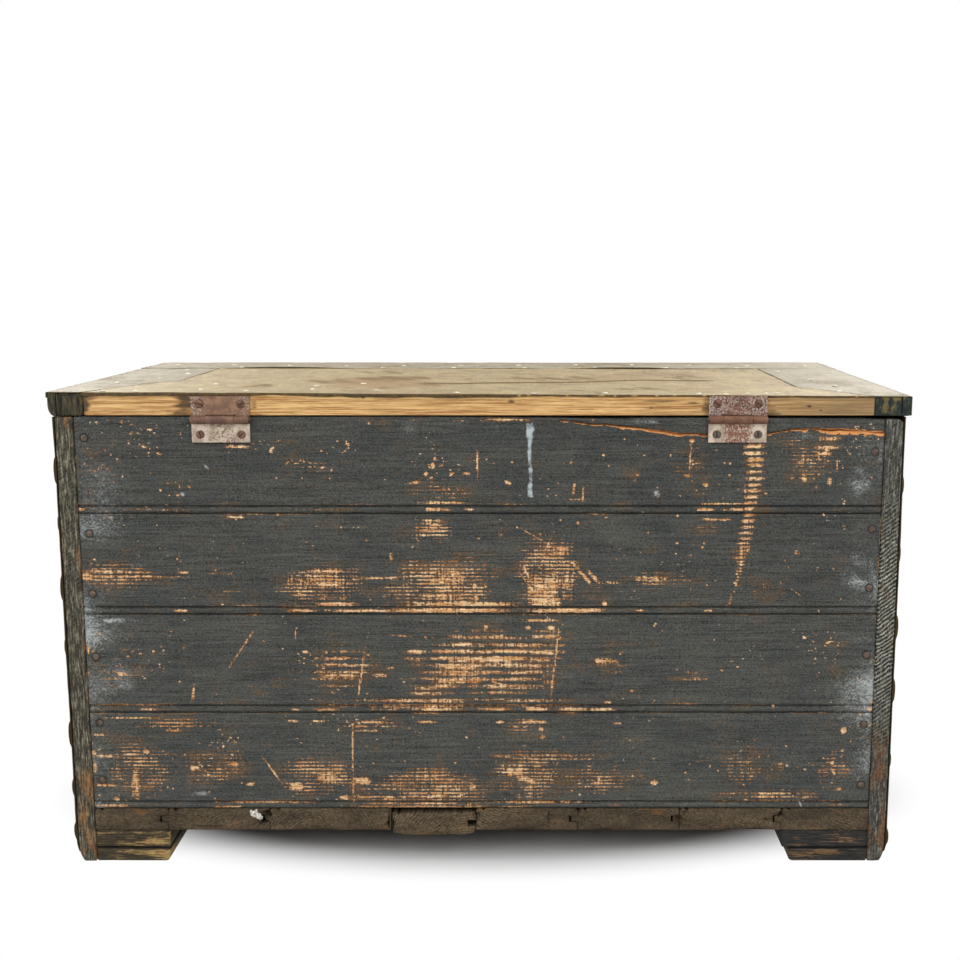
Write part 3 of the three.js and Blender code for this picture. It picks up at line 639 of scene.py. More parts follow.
def mark(points, x, z, length, height, lean=0, bare=1.0, pitch=0, narrow=0):
    """How far one rub has bared the wood at each point of a back board."""
    along, up = leaning(points, x, z, -lean if length >= height else lean)
    along, up = along / (length / 2), up / (height / 2)
    along = along / np.maximum(1 - narrow * (up + 1) / 2, 0.05)
    blunt = 2 if max(length, height) < 12 else 5
    edge = (np.abs(along) ** blunt + np.abs(up) ** blunt) ** (1 / blunt)
    soft = 0.3 + 1.3 / min(length, height)
    amount = bare * np.clip((1 + soft - edge) / (2 * soft), 0, 1)
    if pitch:
        rows = (points[:, 2] + 0.5 * drift(points, (60, 9, 9), 5)) / pitch
        amount = amount * (0.6 + 0.6 * (0.5 + 0.5 * np.sin(2 * math.pi * rows)))
    return amount


def strongest(points, rows):
    """The strongest of all the rubs and chips at each point."""
    most = np.zeros(len(points))
    for row in rows:
        reach = max(row[2], row[3]) / 2 + 4
        near = (np.abs(points[:, 0] - row[0]) < reach) & (np.abs(points[:, 2] - row[1]) < reach)
        most[near] = np.maximum(most[near], mark(points[near], *row))
    return most


def thinned(points, rows):
    """How thin the paint is at each point, from soft round patches."""
    most = np.zeros(len(points))
    for *spot, amount in rows:
        most = np.maximum(most, amount * np.exp(-0.9 * oval(points[:, 0], points[:, 2], spot) ** 3))
    return most


chips = np.random.default_rng(1947)
chip_rows = []
for x, z, spread, count in chip_groups:
    for _ in range(2 * count):
        size = chips.uniform(1.1, 2.7)
        lean = chips.choice([0, 0, -40, 35])
        cx, cz = x + spread * chips.normal(), z + 0.45 * spread * chips.normal()
        chip_rows.append((cx, cz, size, size * chips.uniform(0.5, 1.0), lean, chips.uniform(0.95, 1.4)))
ladder_falls = [-height for height in ladder_heights]
height_now = ladder_heights[0]
while height_now > ladder_heights[-1]:
    middle_now = np.interp(-height_now, ladder_falls, ladder_places) + chips.uniform(-1, 1)
    wide = np.interp(-height_now, ladder_falls, ladder_widths) * chips.uniform(0.8, 1.0)
    pitch_now = np.interp(-height_now, ladder_falls, ladder_pitches)
    chip_rows.append((middle_now, height_now, wide, 0.66 * pitch_now, 2, chips.uniform(0.9, 1.1)))
    height_now -= pitch_now * chips.uniform(0.85, 1.15)

# The nail heads: how far across each column stands, and the height of every head in it.
nail_columns = {
    346: (393.7, 308, 253.5, 195.3, 133.3, 78.9),
    -347: (381.3, 312.5, 259, 197.1, 131.4, 74.1),
}
# A pale drip that has run down board 1: its place across, its top and its foot.
drip_x = -44.5
drip_top = 409
drip_bottom = 339

# Black paint brushed thinly on pine: dull and streaky, and quite matt where bare wood shows.
paint_material, tree, shader, place, bare, chalk, drip, crack_and_ring_shade, split = start_finish(
    "rubbed_black_paint_on_pine", 0.55, 0, 0.16, ("bare", "chalk", "drip", "crack_and_ring_shade", "split")
)
# The paint has gone in ridges, long grain lines, specks and short upright rows: size and weight.
scour_figures = [((9, 4, 1.5), 1.5), ((44, 4, 1.6), 1.1), ((2.2, 2.2, 1.4), 2.6), ((2.2, 4, 26), 2.1)]
scours = [(figure(tree, place, size, 4, 0.7), weight) for size, weight in scour_figures]
chance = add(tree, "Math", {0: summed(tree, scours, -2.65), 1: bare}, operation="MULTIPLY")
crowd = figure(tree, place, (70, 70, 40), 3)
flecks = figure(tree, place, (4.5, 3, 2.6), 3)
flecks = eased(tree, [(flecks, 1), (crowd, 0.6)], 1.02, 1.08)
through = eased(tree, [(chance, 1)], 0.54, 0.66)
through = add(tree, "Math", {0: through, 1: flecks}, operation="MAXIMUM")
fresh = eased(tree, [(chance, 1)], 0.56, 0.95)
fresh = add(tree, "Math", {0: fresh, 1: flecks}, operation="MAXIMUM")
# The bared wood: orange, dull where the paint has only just gone, and pinker flesh inside the split.
fibre = figure(tree, place, (24, 3, 1.1), 5, 0.7)
wood = coat(tree, "cc8444", "ffe2b4", [(fibre, 1)], 0.34, 0.64)
flesh = coat(tree, "b36a35", "f2ac6c", [(fibre, 1)], 0.34, 0.64)
wood = add(tree, "Mix", {0: fresh, 6: linear("9a6434"), 7: wood}, data_type="RGBA")
wood = add(tree, "Mix", {0: split, 6: wood, 7: flesh}, data_type="RGBA")
# The paint: brushed thick and thin, browned in places, with grey dust and pale slanting scratches.
brushed = figure(tree, place, (44, 3, 1.5), 4, 0.7)
mottled = figure(tree, place, (6, 4, 4), 5, 0.75)
grit = figure(tree, place, (2, 2, 1.4), 4, 0.75)
film = summed(tree, [(brushed, 0.6), (mottled, 0.35), (grit, 1.1)])
film = add(tree, "MapRange", {0: film, 1: 0.82, 2: 1.22, 3: 0.34, 4: 2.25})
height = add(tree, "SeparateXYZ", {0: place}).node.outputs["Z"]
# The film is drawn darker towards the top of the back and lighter towards its foot: a painted gradient of
# light.
lower = add(tree, "MapRange", {0: height, 1: 410.0, 2: 60.0, 3: 0.86, 4: 1.05})
film = add(tree, "Math", {0: film, 1: lower}, operation="MULTIPLY")
wander = figure(tree, place, (50, 50, 26), 4)
paint = coat(tree, "3b3d3b", "474742", [(wander, 1)], 0.3, 0.74)
sepia = figure(tree, place, (30, 30, 18), 6, 0.7)
paint = coat(tree, paint, "5a4835", [(sepia, 1), (bare, 0.24)], 0.54, 0.76, 0.75)
paint = add(tree, "VectorMath", {0: paint, "Scale": film}, operation="SCALE")
dust = figure(tree, place, (5, 4, 4), 8, 0.95)
dusty = eased(tree, [(dust, 1), (chalk, 0.2)], 0.6, 0.8, 0.75)
gritty = add(tree, "MapRange", {0: grit, 1: 0.38, 2: 0.6, 3: 0.0})
dusty = add(tree, "Math", {0: dusty, 1: gritty}, operation="MULTIPLY")
paint = add(tree, "Mix", {0: dusty, 6: paint, 7: linear("adb3b1")}, data_type="RGBA")
strokes = figure(tree, place, (6, 3, 1.3), 6, 0.8)
for turn in (0.7, -0.95):
    slanted = add(tree, "VectorRotate", {0: place, "Angle": turn}, rotation_type="Y_AXIS")
    slanted = figure(tree, slanted, (13, 4, 1.3), 5, 0.8)
    strokes = add(tree, "Math", {0: slanted, 1: strokes}, operation="MAXIMUM")
paint = coat(tree, paint, "b9bebc", [(strokes, 1), (chalk, 0.19)], 0.74, 0.81, 0.9)
surface = add(tree, "Mix", {0: through, 6: paint, 7: wood}, data_type="RGBA")
# Near black in the split's crack and in a ring round each nail head: painted shade, with some rust round the
# nails.
surface = add(tree, "Mix", {0: crack_and_ring_shade, 6: surface, 7: linear("130d08")}, data_type="RGBA")
flecked = figure(tree, place, (3.4, 3, 4), 4, 0.7)
surface = coat(tree, surface, "bcc7ca", [(drip, 1), (flecked, 1.9)], 1.4, 2.1, 0.95)
matt = add(tree, "MapRange", {0: through, 3: 0.55, 4: 0.8})
tree.links.new(matt, shader.inputs["Roughness"])
level = add(tree, "Math", {0: through, 1: -0.6, 2: film}, operation="MULTIPLY_ADD")
finished(tree, shader, surface, level, 0.5, 0.35)

# How far apart the ridges of the grain lie on each board, and how far above its lower edge the paint
# is rubbed along the quirk and the bead.
ridge_pitches = {1: 3.4, 2: 3.4, 3: 6.4, 4: 3.4}
quirk_up = 8.6
bead_up = 3.6
for number in range(1, 5):
    low, high = node_box(f"back_board_{number}")
    top = high[2]
    has_tongue = number < 4
    width = top - low[2] - (lapped if has_tongue else 0)
    ring = matched_ring(width, high[1] - low[1], has_tongue, number > 1, face_step)
    outline = listed(0 * ring[:, 0], low[1] + ring[:, 1], top - ring[:, 0])
    points, faces = drawn_out(outline, 0, stations(low[0], high[0], face_step))
    x, y, z = points.T
    ridge_turn = (z + 0.9 * drift(points, (90, 9, 30), 26)) * 2 * math.pi / ridge_pitches[number]
    thin = thinned(points, thin_patches[number]) * (1 + 0.35 * drift(points, (16, 30, 8), 27))
    thin = thin * (1.0 + 0.55 * np.sin(ridge_turn))
    bare = np.maximum(strongest(points, rubs[number] + chip_rows), thin)
    outer = y > high[1] - quirk_depth - 0.1
    side_gap = np.minimum(x - low[0], high[0] - x)
    chipped = ramp(side_gap, 2.5, 0) * (0.75 + 0.6 * drift(points, (5, 5, 5), 77))
    from_edge = np.abs(z - (top - width + quirk_up))
    from_edge = from_edge if number == 1 else np.minimum(top - z, from_edge)
    edge_rub = np.clip(1.2 - from_edge / 1.5, 0, 1) * (0.3 + 0.55 * drift(points, (26, 9, 90), 78 + number))
    bead = np.clip(1.2 - np.abs(z - (top - width + bead_up)) / 2.4, 0, 1)
    edge_rub = np.maximum(edge_rub, bead * (0.26 + 0.45 * drift(points, (30, 9, 90), 88 + number)))
    bare = np.maximum(bare, np.maximum(chipped * 0.62, edge_rub))
    wave = 0.25 * drift(points, (160, 50, 34), 3 + number) + 0.06 * drift(points, (90, 9, 2.6), 9)
    dent = np.maximum(0, drift(points, (9, 9, 6), 15 + number) - 0.72) * 1.6
    bitten = 1.8 * np.clip(1 - side_gap / (1.6 + 0.9 * drift(points, (9, 9, 5), 66)), 0, 1)
    y -= np.where(outer, 0.3 + wave + dent + bitten + 0.22 * np.minimum(bare, 1), 0)
    split = np.zeros(len(points))
    crack_and_ring_shade = np.zeros(len(points))
    if number == 1:
        for line in split_lines:
            line = np.array(line)[::-1]
            inside = (x > line[0, 0]) & (x < line[-1, 0])
            off = z - np.interp(x, line[:, 0], line[:, 1])
            off += 0.7 * drift(points, (11, 9, 90), 71)
            flaked = 2.0 + 1.8 * drift(points, (14, 9, 90), 72) + 1.8 * drift(points, (5, 9, 4), 75)
            flaked = np.maximum(flaked + 1.8 * (x < -290), 0.8)
            grown = np.clip(np.abs(x + (70 if line[-1, 0] > -200 else 250)) / 60, 0.35, 1)
            torn_half = 0.5 * grown * flaked + 0.3
            open_wood = np.clip(1.3 - np.abs(off + 0.5 * flaked) / torn_half, 0, 1) * inside
            split = np.maximum(split, np.clip(3 * open_wood, 0, 1))
            bare = np.maximum(bare, 1.25 * np.clip(1.6 * open_wood, 0, 1))
            parted = np.clip(0.7 + 0.8 * drift(points, (26, 9, 90), 74), 0, 1) * inside
            crack_line = np.abs(off + 0.3 * flaked + 0.8 * drift(points, (34, 9, 90), 76))
            # The crack down the middle of the split is drawn near black: painted shade in its depth.
            crack_and_ring_shade = np.maximum(crack_and_ring_shade, np.clip(1.45 - crack_line / 0.75, 0, 1) * parted)
            y -= np.where(outer, 2.6 * crack_and_ring_shade * inside + 0.5 * open_wood, 0)
        sunk = np.clip((60 - x) / 420, 0, 1) * 2.2
        ragged = 0.6 * drift(points, (30, 30, 60), 21) * np.clip(sunk, 0, 1)
        z -= (sunk + ragged) * ramp(z, top - 12, top)
    near_nails = np.zeros(len(points))
    rust_and_shade_ring = np.zeros(len(points))
    for nail_x, nail_heights in nail_columns.items():
        for nail_z in nail_heights:
            away = np.hypot(x - nail_x, z - nail_z)
            near_nails = np.maximum(near_nails, np.clip(1.4 - away / 3.4, 0, 1))
            # A dark ring round each sunk head: painted shade, with rust.
            rust_and_shade_ring = np.maximum(rust_and_shade_ring, np.clip(1.5 - np.abs(away - 3.1) / 0.9, 0, 1))
    y -= np.where(outer, 0.8 * near_nails, 0)
    crack_and_ring_shade = np.maximum(crack_and_ring_shade, 0.8 * rust_and_shade_ring)
    chalk = np.clip(1.05 - side_gap / 62, 0.1, 1) * (0.72 + 0.7 * drift(points, (40, 60, 24), 63))
    for scuff_x, scuff_z, length, height, lean, strength in scuffs:
        along, up = leaning(points, scuff_x, scuff_z, lean)
        away = (along / (0.6 * length)) ** 2 + (up / (0.6 * height)) ** 2
        torn = 1 + 0.7 * drift(points, (9, 9, 6), 64)
        chalk = np.maximum(chalk, strength * torn * np.exp(-away))
    drip_half = 1.9 + 1.5 * ramp(z, drip_top - 19, drip_top - 15)
    drip_half += 0.9 * np.exp(-(((z - drip_bottom - 3) / 3) ** 2))
    drip_away = np.abs(x - drip_x - 0.7 * drift(points, (9, 9, 20), 8))
    drip_side = np.clip(1.6 - drip_away / drip_half, 0, 1) * (0.9 + 0.3 * drift(points, (30, 30, 7), 6))
    drip = drip_side * ramp(z, drip_bottom, drip_bottom + 2) * ramp(z, drip_top, drip_top - 3)
    channels = {"bare": bare, "chalk": chalk, "drip": drip, "split": split, "crack_and_ring_shade": crack_and_ring_shade}
    name = f"back_board_{number}"
    piece(name + "_beaded", [(points, faces)], "carcass", paint_material, [name],
          channels)

# The nails. Iron wire nails with round heads, driven through the ends of the back boards into the
# cleats. The heads are set a little below the face, rusty and half covered by paint.


def turned(profile, middle, axis=(0, 1, 0), around=20, wobble=0.0, seed=0):
    """A turned solid from (radius, height) pairs, its middle line along the axis from its middle."""
    axis = np.array(axis, float)
    first = np.cross(axis, (0.0, 0.0, 1.0) if abs(axis[2]) < 0.9 else (1.0, 0.0, 0.0))
    first /= np.linalg.norm(first)
    second = np.cross(axis, first)
    turns = np.linspace(0, 2 * math.pi, around, endpoint=False)
    rings = []
    for radius, height in profile:
        ring = radius * (np.cos(turns)[:, None] * first + np.sin(turns)[:, None] * second)
        rings.append(np.array(middle) + height * axis + ring)
    points, faces = loft(np.array(rings))
    if wobble:
        points = points + wobble * listed(*[drift(points, (3, 3, 3), seed + k) for k in range(3)])
    return points, faces


def rusty_iron(name, dark, light, fleck, fleck_share, roughness=0.6, size=2.2):
    """Rusty iron: dull brown in two tones, with paler pits where the rust has flaked."""
    material, tree, shader, place = start_finish(name, roughness, 0.25)
    blotch = figure(tree, place, (3 * size,) * 3, 5, 0.65)
    base = coat(tree, dark, light, [(blotch, 1)], 0.38, 0.62)
    pits = figure(tree, place, (size,) * 3, 5, 0.7)
    tint = coat(tree, base, fleck, [(pits, 1)], 0.66 - 0.24 * fleck_share, 0.74 - 0.22 * fleck_share)
    finished(tree, shader, tint, pits, 0.6, 0.4)
    return material


nail_radius = 2.9
nail_sunk = 0.1
nail_rise = 0.55
# The nail from its point to its head: radius as a share of the head's, and height above its seat.
nail_shape = [(0.5, -14), (0.5, -1.2), (1, -0.9), (1, -0.2), (0.86, 0.12 * nail_rise)]
nail_shape += [(0.55, 0.7 * nail_rise), (0.5 / nail_radius, nail_rise)]
nail_shape = [(nail_radius * share, height) for share, height in nail_shape]
nail_rust = rusty_iron("rusty_nail_iron", "3d302a", "6a5545", "8f7f70", 0.35)
for nail_x, nail_heights in nail_columns.items():
    side = "right" if nail_x > 0 else "left"
    for index, nail_z in enumerate(nail_heights):
        head = turned(nail_shape, (nail_x, back_face - nail_sunk, nail_z), wobble=0.1, seed=index)
        piece(f"back_nail_{side}_{index + 1}", [head], "carcass", nail_rust)

# The floor. Eight beaded boards from front to back under the walls. Their sawn ends show below the
# back, grey and dirty. The fifth has come loose from its neighbours and hangs a little lower.
ring_pitch = 2.6


def end_grain(name, dark, light, warm, warmth):
    """Sawn ends of softwood: growth rings round a far pith, filled with dirt, crossed by saw marks."""
    channels = ("pith_x", "pith_z")
    material, tree, shader, place, *pith = start_finish(name, 0.82, channels=channels)
    axes = add(tree, "SeparateXYZ", {0: place}).node.outputs
    dx = add(tree, "Math", {0: axes["X"], 1: pith[0]}, operation="SUBTRACT")
    dz = add(tree, "Math", {0: axes["Z"], 1: pith[1]}, operation="SUBTRACT")
    flat = add(tree, "CombineXYZ", {"X": dx, "Z": dz})
    away = add(tree, "VectorMath", {0: flat}, operation="LENGTH").node.outputs["Value"]
    wobble = figure(tree, place, (16, 90, 16), 3)
    wave = waves(tree, away, ring_pitch, wobble, 7.0)
    clear = figure(tree, place, (30, 40, 14), 3)
    clear = add(tree, "MapRange", {0: clear, 1: 0.42, 2: 0.62, 3: 0.04, 4: 0.42})
    wave = add(tree, "Math", {0: wave, 1: clear}, operation="MULTIPLY")
    grit = figure(tree, place, (3, 20, 2.4), 6, 0.8)
    wave = add(tree, "Math", {0: grit, 1: 5.0, 2: wave}, operation="MULTIPLY_ADD")
    tone = add(tree, "MapRange", {0: wave, 1: 1.6, 2: 3.6})
    base = add(tree, "Mix", {0: tone, 6: linear(dark), 7: linear(light)}, data_type="RGBA")
    blotch = figure(tree, place, (22, 22, 12), 5)
    tint = coat(tree, base, warm, [(blotch, 1)], 0.66 - 0.2 * warmth, 0.78 - 0.2 * warmth)
    soot = figure(tree, place, (40, 40, 14), 4)
    finished(tree, shader, shaded(tree, tint, soot, 0.34, 0.66, 0.55, 1.25), wave, 0.55, 0.5)
    return material


floor_finish = end_grain("dirty_sawn_pine_floor", "231e17", "7c6a50", "7d5833", 0.34)
# For each board from the left: whether it has a tongue and a groove, and where its pith was, across
# from its middle and up from its underside.
floor_boards = [
    (True, False, -30, 60), (True, True, 10, -30), (True, True, -22, -18), (False, True, 6, 70),
    (False, True, -34, -26), (True, False, 16, -20), (True, True, 30, 62), (False, True, -8, -40),
]
floor_step = 1.6
floor_corner = 0.9
loose_board = 5
loose_corner = 6


def filled_end(ring, step):
    """Triangles that fill a closed outline, with points inside it about a step apart."""
    low, high = ring.min(axis=0), ring.max(axis=0)
    across, up = np.meshgrid(np.arange(low[0], high[0], step), np.arange(low[1] + step / 2, high[1], step))
    shift = 0.3 * step * drift(listed(across, up, 0 * up), (2, 2, 2), 4)
    inner = listed(across.ravel() + shift, up.ravel() - shift)
    edges = [(i, (i + 1) % len(ring)) for i in range(len(ring))]
    spots, _, faces, *_ = delaunay_2d_cdt(ring.tolist() + inner.tolist(), edges, [], 1, 1e-5)
    return np.array([tuple(spot) for spot in spots]), [list(face) for face in faces]


# Where the sawn ends are broken: across, up, how wide, how high and how deep.
broken_ends = [
    (198, 44, 11, 9, 9), (201, 38, 7, 7, 7), (188, 49, 8, 4, 5), (83.5, 40, 5, 12, 6), (84, 37, 7, 5, 9),
    (5, 44, 6, 7, 6), (-88, 49, 9, 5, 5), (-181, 40, 8, 8, 7), (-186, 46, 5, 6, 5), (-62, 42, 1.6, 22, 4),
    (-275, 44, 6, 9, 6), (-262, 40, 9, 4, 4), (120, 31, 6, 3, 4), (250, 33, 30, 3, 3),
    (-120, 31, 40, 2.5, 3), (40, 27, 24, 2.5, 3), (-240, 31, 50, 2.5, 3), (150, 31, 50, 2.5, 3),
    (-40, 31, 30, 2.5, 3),
]
for number, (tongue, groove, pith_across, pith_up) in enumerate(floor_boards, 1):
    low, high = node_box(f"floor_board_{number}")
    width = high[0] - low[0] - (lapped if tongue else 0)
    ring = matched_ring(width, high[2] - low[2], tongue, groove, floor_step)
    if number == loose_board:
        for corner in (0, width):
            near = (np.abs(ring[:, 0] - corner) < loose_corner) & (ring[:, 1] < loose_corner)
            middle = np.array([abs(corner - loose_corner), loose_corner])
            away = np.maximum(np.linalg.norm(ring - middle, axis=1), 1e-6)
            pulled = middle + (ring - middle) * (loose_corner / away)[:, None]
            ring = np.where((near & (away > loose_corner))[:, None], pulled, ring)
    off_middle = ring - ring.mean(axis=0)
    shrunk = ring - floor_corner * np.sign(off_middle) * (np.abs(off_middle) > 3)
    rows = [(low[1], shrunk), (low[1] + 0.8, ring)]
    rows += [(place, ring) for place in stations(low[1] + 10, high[1] - 6, 20)]
    rows += [(high[1] - 3, ring), (high[1] - 0.8, ring), (high[1], shrunk)]
    rings = [listed(low[0] + r[:, 0], place + 0 * r[:, 0], low[2] + r[:, 1]) for place, r in rows]
    points, faces = loft(np.array(rings))
    faces = faces[:-1]
    spots, end_faces = filled_end(shrunk, floor_step)
    end_points = listed(low[0] + spots[:, 0], high[1] + 0 * spots[:, 0], low[2] + spots[:, 1])
    faces += [[corner + len(points) for corner in face] for face in end_faces]
    points = np.concatenate([points, end_points])
    x, y, z = points.T
    rear = ramp(y, high[1] - 4, high[1])
    saw = 0.12 * np.sin((x * 0.8 + z) * 2 * math.pi / 3.1 + 2 * drift(points, (20, 90, 9), 5))
    bitten = 0.6 + saw + 0.5 * drift(points, (14, 90, 9), 99 + number) + 0.25 * drift(points, (3, 90, 3), 50)
    crumbled = 0.35 * drift(points, (3, 90, 3), 52)
    for *spot, deep in broken_ends:
        bitten += deep * np.clip(1.25 - oval(x, z, spot) - crumbled, 0, 1)
    y -= rear * bitten
    z += 0.35 * drift(points, (9, 40, 9), 90 + number)
    channels = {"pith_x": low[0] + width / 2 + pith_across, "pith_z": low[2] + pith_up}
    name = f"floor_board_{number}"
    piece(name + "_sawn", [(points, faces)], "carcass", floor_finish, [name], channels)

# The filler. A lump of old white plaster pressed into a broken corner of the sixth floor board.
# Old plaster: white and chalky, with dirt in its pores.
plaster, tree, shader, place = start_finish("old_white_plaster", 0.9, 0, 0.2)
crumbs = figure(tree, place, (2, 2, 2), 4, 0.7)
white = coat(tree, "8d8576", "e6e2d8", [(crumbs, 1)], 0.4, 0.55)
tree.links.new(white, shader.inputs["Base Color"])
lumps = []
for x, z, radius in ((209, 46, 3.4), (205, 44, 2.8), (212, 48, 2.2), (207, 48, 2.6), (203, 42, 1.8)):
    turns = np.linspace(0, math.pi, 9)
    arch = [(max(0.15, radius * math.sin(t)), radius * 0.5 * -math.cos(t)) for t in turns]
    lumps.append(turned(arch, (x, back_face - 1.0, z), around=16, wobble=0.7, seed=int(x)))
piece("floor_filler_plaster", lumps, "carcass", plaster)

# The feet. Two pine blocks on top of each other under each corner, nailed up into the floor. The
# right ones are worn to yellow wood at their corners, and the left ones are nearly black.
foot_corner = 6
foot_arris = 1.6
foot_step = 1.6


def worn_foot(name, dark, light, bared, bared_light):
    """Foot block: black dirty paint in streaks, rubbed to paler wood where the surface stood out."""
    material, tree, shader, place, rubbed = start_finish(name, 0.75, channels=("rubbed",))
    streak = figure(tree, place, (40, 8, 1.8), 6, 0.7)
    fine = figure(tree, place, (9, 9, 1.1), 5, 0.75)
    paint = coat(tree, dark, light, [(fine, 1)], 0.36, 0.66)
    wood = coat(tree, bared, bared_light, [(fine, 1)], 0.36, 0.66)
    chance = summed(tree, [(rubbed, 0.4), (fine, 0.5)], streak)
    tint = coat(tree, paint, wood, [(chance, 1)], 0.88, 1.08)
    # Where the channel falls far below zero, at the joint between the blocks, the colour darkens: painted
    # shade.
    finished(tree, shader, shaded(tree, tint, rubbed, -1.2, -0.4, 0.25, 1.0), chance, 0.6, 0.6)
    return material


foot_warm = worn_foot("scuffed_pine_feet", "241f18", "51452f", "6f5731", "c2a26a")
foot_black = worn_foot("blackened_pine_feet", "141414", "33322f", "54422f", "8f6c46")
# Where the rear feet are rubbed bare: across, up, length, height and how much.
foot_rubs = [
    (345, 28, 60, 2, 0.3), (300, 19, 30, 8, 0.8), (326, 17, 44, 4, 0.6), (294, 8, 30, 10, 0.9),
    (320, 9, 40, 5, 0.7), (346, 5, 30, 6, 0.4), (288, 2, 12, 4, 1.0), (285, 22, 8, 18, 0.7),
    (-318, 10, 26, 8, 0.9), (-300, 2, 20, 3, 0.6), (-342, 12, 14, 3, 0.5), (-290, 24, 10, 5, 0.5),
]


def round_corner(points, middle, radius, side):
    """Rounds the lower corner on one side of a block lying across the view."""
    dx = (points[:, 0] - middle[0]) * side
    dz = middle[1] - points[:, 2]
    beyond = (dx > 0) & (dz > 0)
    away = np.maximum(np.hypot(dx, dz), 1e-6)
    pull = np.where(beyond & (away > radius), radius / away, 1)
    points[:, 0] = np.where(beyond, middle[0] + side * dx * pull, points[:, 0])
    points[:, 2] = np.where(beyond, middle[1] - dz * pull, points[:, 2])
    return points


corners = itertools.product(("front", "rear"), (("left", -1), ("right", 1)), ("lower", "upper"))
for place_name, (side, sign), level in corners:
    node = f"foot_{place_name}_{side}_{level}"
    low, high = node_box(node)
    points, faces = worn_bar(low, high, 0, foot_arris, (foot_step, 6, foot_step))
    points = worn(points, low, high, foot_arris, 1.0, 120 + sign, (24, 24, 9))
    inner = low[0] if sign > 0 else high[0]
    if level == "lower":
        points = round_corner(points, (inner + sign * foot_corner, foot_corner), foot_corner, -sign)
    x, y, z = points.T
    grooves = np.maximum(0, drift(points, (50, 60, 1.6), 131 + sign) - 0.3)
    y -= np.where(y > high[1] - 2, 0.9 * grooves, 0)
    finish = foot_warm if side == "right" else foot_black
    rubbed = 0.2 + 0.35 * drift(points, (30, 30, 7), 134)
    for *spot, amount in foot_rubs:
        rubbed = np.maximum(rubbed, amount * np.clip(1.5 - oval(x, z, spot), 0, 1))
    rubbed = np.where(y > high[1] - 2.5, rubbed, 0.1)
    # The joint between the two blocks is drawn dark through this channel: painted shade in the seam.
    joint = high[2] - 0.3 if level == "lower" else low[2] + 0.3
    rubbed = rubbed - 2.6 * ramp(np.abs(z - joint), 1.3, 0)
    channels = {"rubbed": rubbed}
    piece(node + "_block", [(points, faces)], "carcass", finish, [node], channels)

# The brass on the front and ends. Thin sheet, worked from behind into raised beads, studs, bosses and
# a fluted lozenge with a rosette in the middle, a traditional pattern. Brass tacks hold its edges.


def slab(outer, inner):
    """A closed sheet between two grids of points."""
    rows, columns = outer.shape[:2]
    index = np.arange(rows * columns).reshape(rows, columns)
    back = index + rows * columns
    quads = np.stack([index[:-1, :-1], index[1:, :-1], index[1:, 1:], index[:-1, 1:]], -1).reshape(-1, 4)
    faces = quads.tolist() + (quads[:, ::-1] + rows * columns).tolist()
    for side in (np.s_[0], np.s_[-1], np.s_[:, 0], np.s_[:, -1]):
        rim, back_rim = index[side], back[side]
        faces += np.stack([rim[:-1], rim[1:], back_rim[1:], back_rim[:-1]], -1).tolist()
    return np.concatenate([outer.reshape(-1, 3), inner.reshape(-1, 3)]), faces


def dome(distance, radius, height):
    """The height of a round boss at a distance from its middle."""
    return height * np.sqrt(np.clip(1 - (distance / radius) ** 2, 0, 1))


def bead_row(along, off, pitch, radius, height):
    """The height of a row of round studs along a line, off to the side of it by some distance."""
    near = (along / pitch - np.round(along / pitch)) * pitch
    return dome(np.hypot(near, off), radius, height)


def raised_line(distance, width, height):
    """The height of a soft raised line at a distance from its middle."""
    return height * np.exp(-((distance / width) ** 2))


def worked_brass(across, up, half, base, top):
    """The raised pattern of a panel: how far it stands out at each place across and up."""
    from_side = half - np.abs(across)
    from_end = np.minimum(up - base, top - up)
    from_edge = np.minimum(from_side, from_end)
    height = raised_line(from_edge - 22, 2.2, 1.4) + raised_line(from_edge - 46, 2.2, 1.4)
    along = np.where(from_side < from_end, up, across)
    studs = bead_row(along, from_edge - 34, 17, 5.6, 2.6)
    dz = up - (base + top) / 2
    reach = min(half, (top - base) / 2) - 62
    lozenge = np.abs(across) / (reach * 1.1) + np.abs(dz) / reach
    edge = raised_line(lozenge - 0.93, 0.035, 1.6)
    angle = np.arctan2(dz, across)
    away = np.hypot(across, dz)
    fluted = 1.1 * np.abs(np.sin(angle * 9)) ** 0.7 * ((lozenge < 0.84) & (away > reach * 0.36))
    petals = 2.4 * np.abs(np.cos(angle * 4)) ** 0.6 * np.clip(1 - (away / (reach * 0.3)) ** 4, 0, 1)
    petals = petals * (away > reach * 0.1)
    button = dome(away, reach * 0.12, 3.4)
    corner = np.hypot(np.abs(across) - (half - 88), np.abs(dz) - ((top - base) / 2 - 88))
    bosses = np.maximum(dome(corner, 21, 3.2), raised_line(corner - 27, 1.8, 1.3))
    return np.max([height, studs, edge, fluted, petals, button, bosses], axis=0)


brass_brown = "86611a"
# The darkest brass colour: heavy tarnish and dirt, and painted shade in the seams and folds.
brass_dirt_and_shade = "1d1a12"


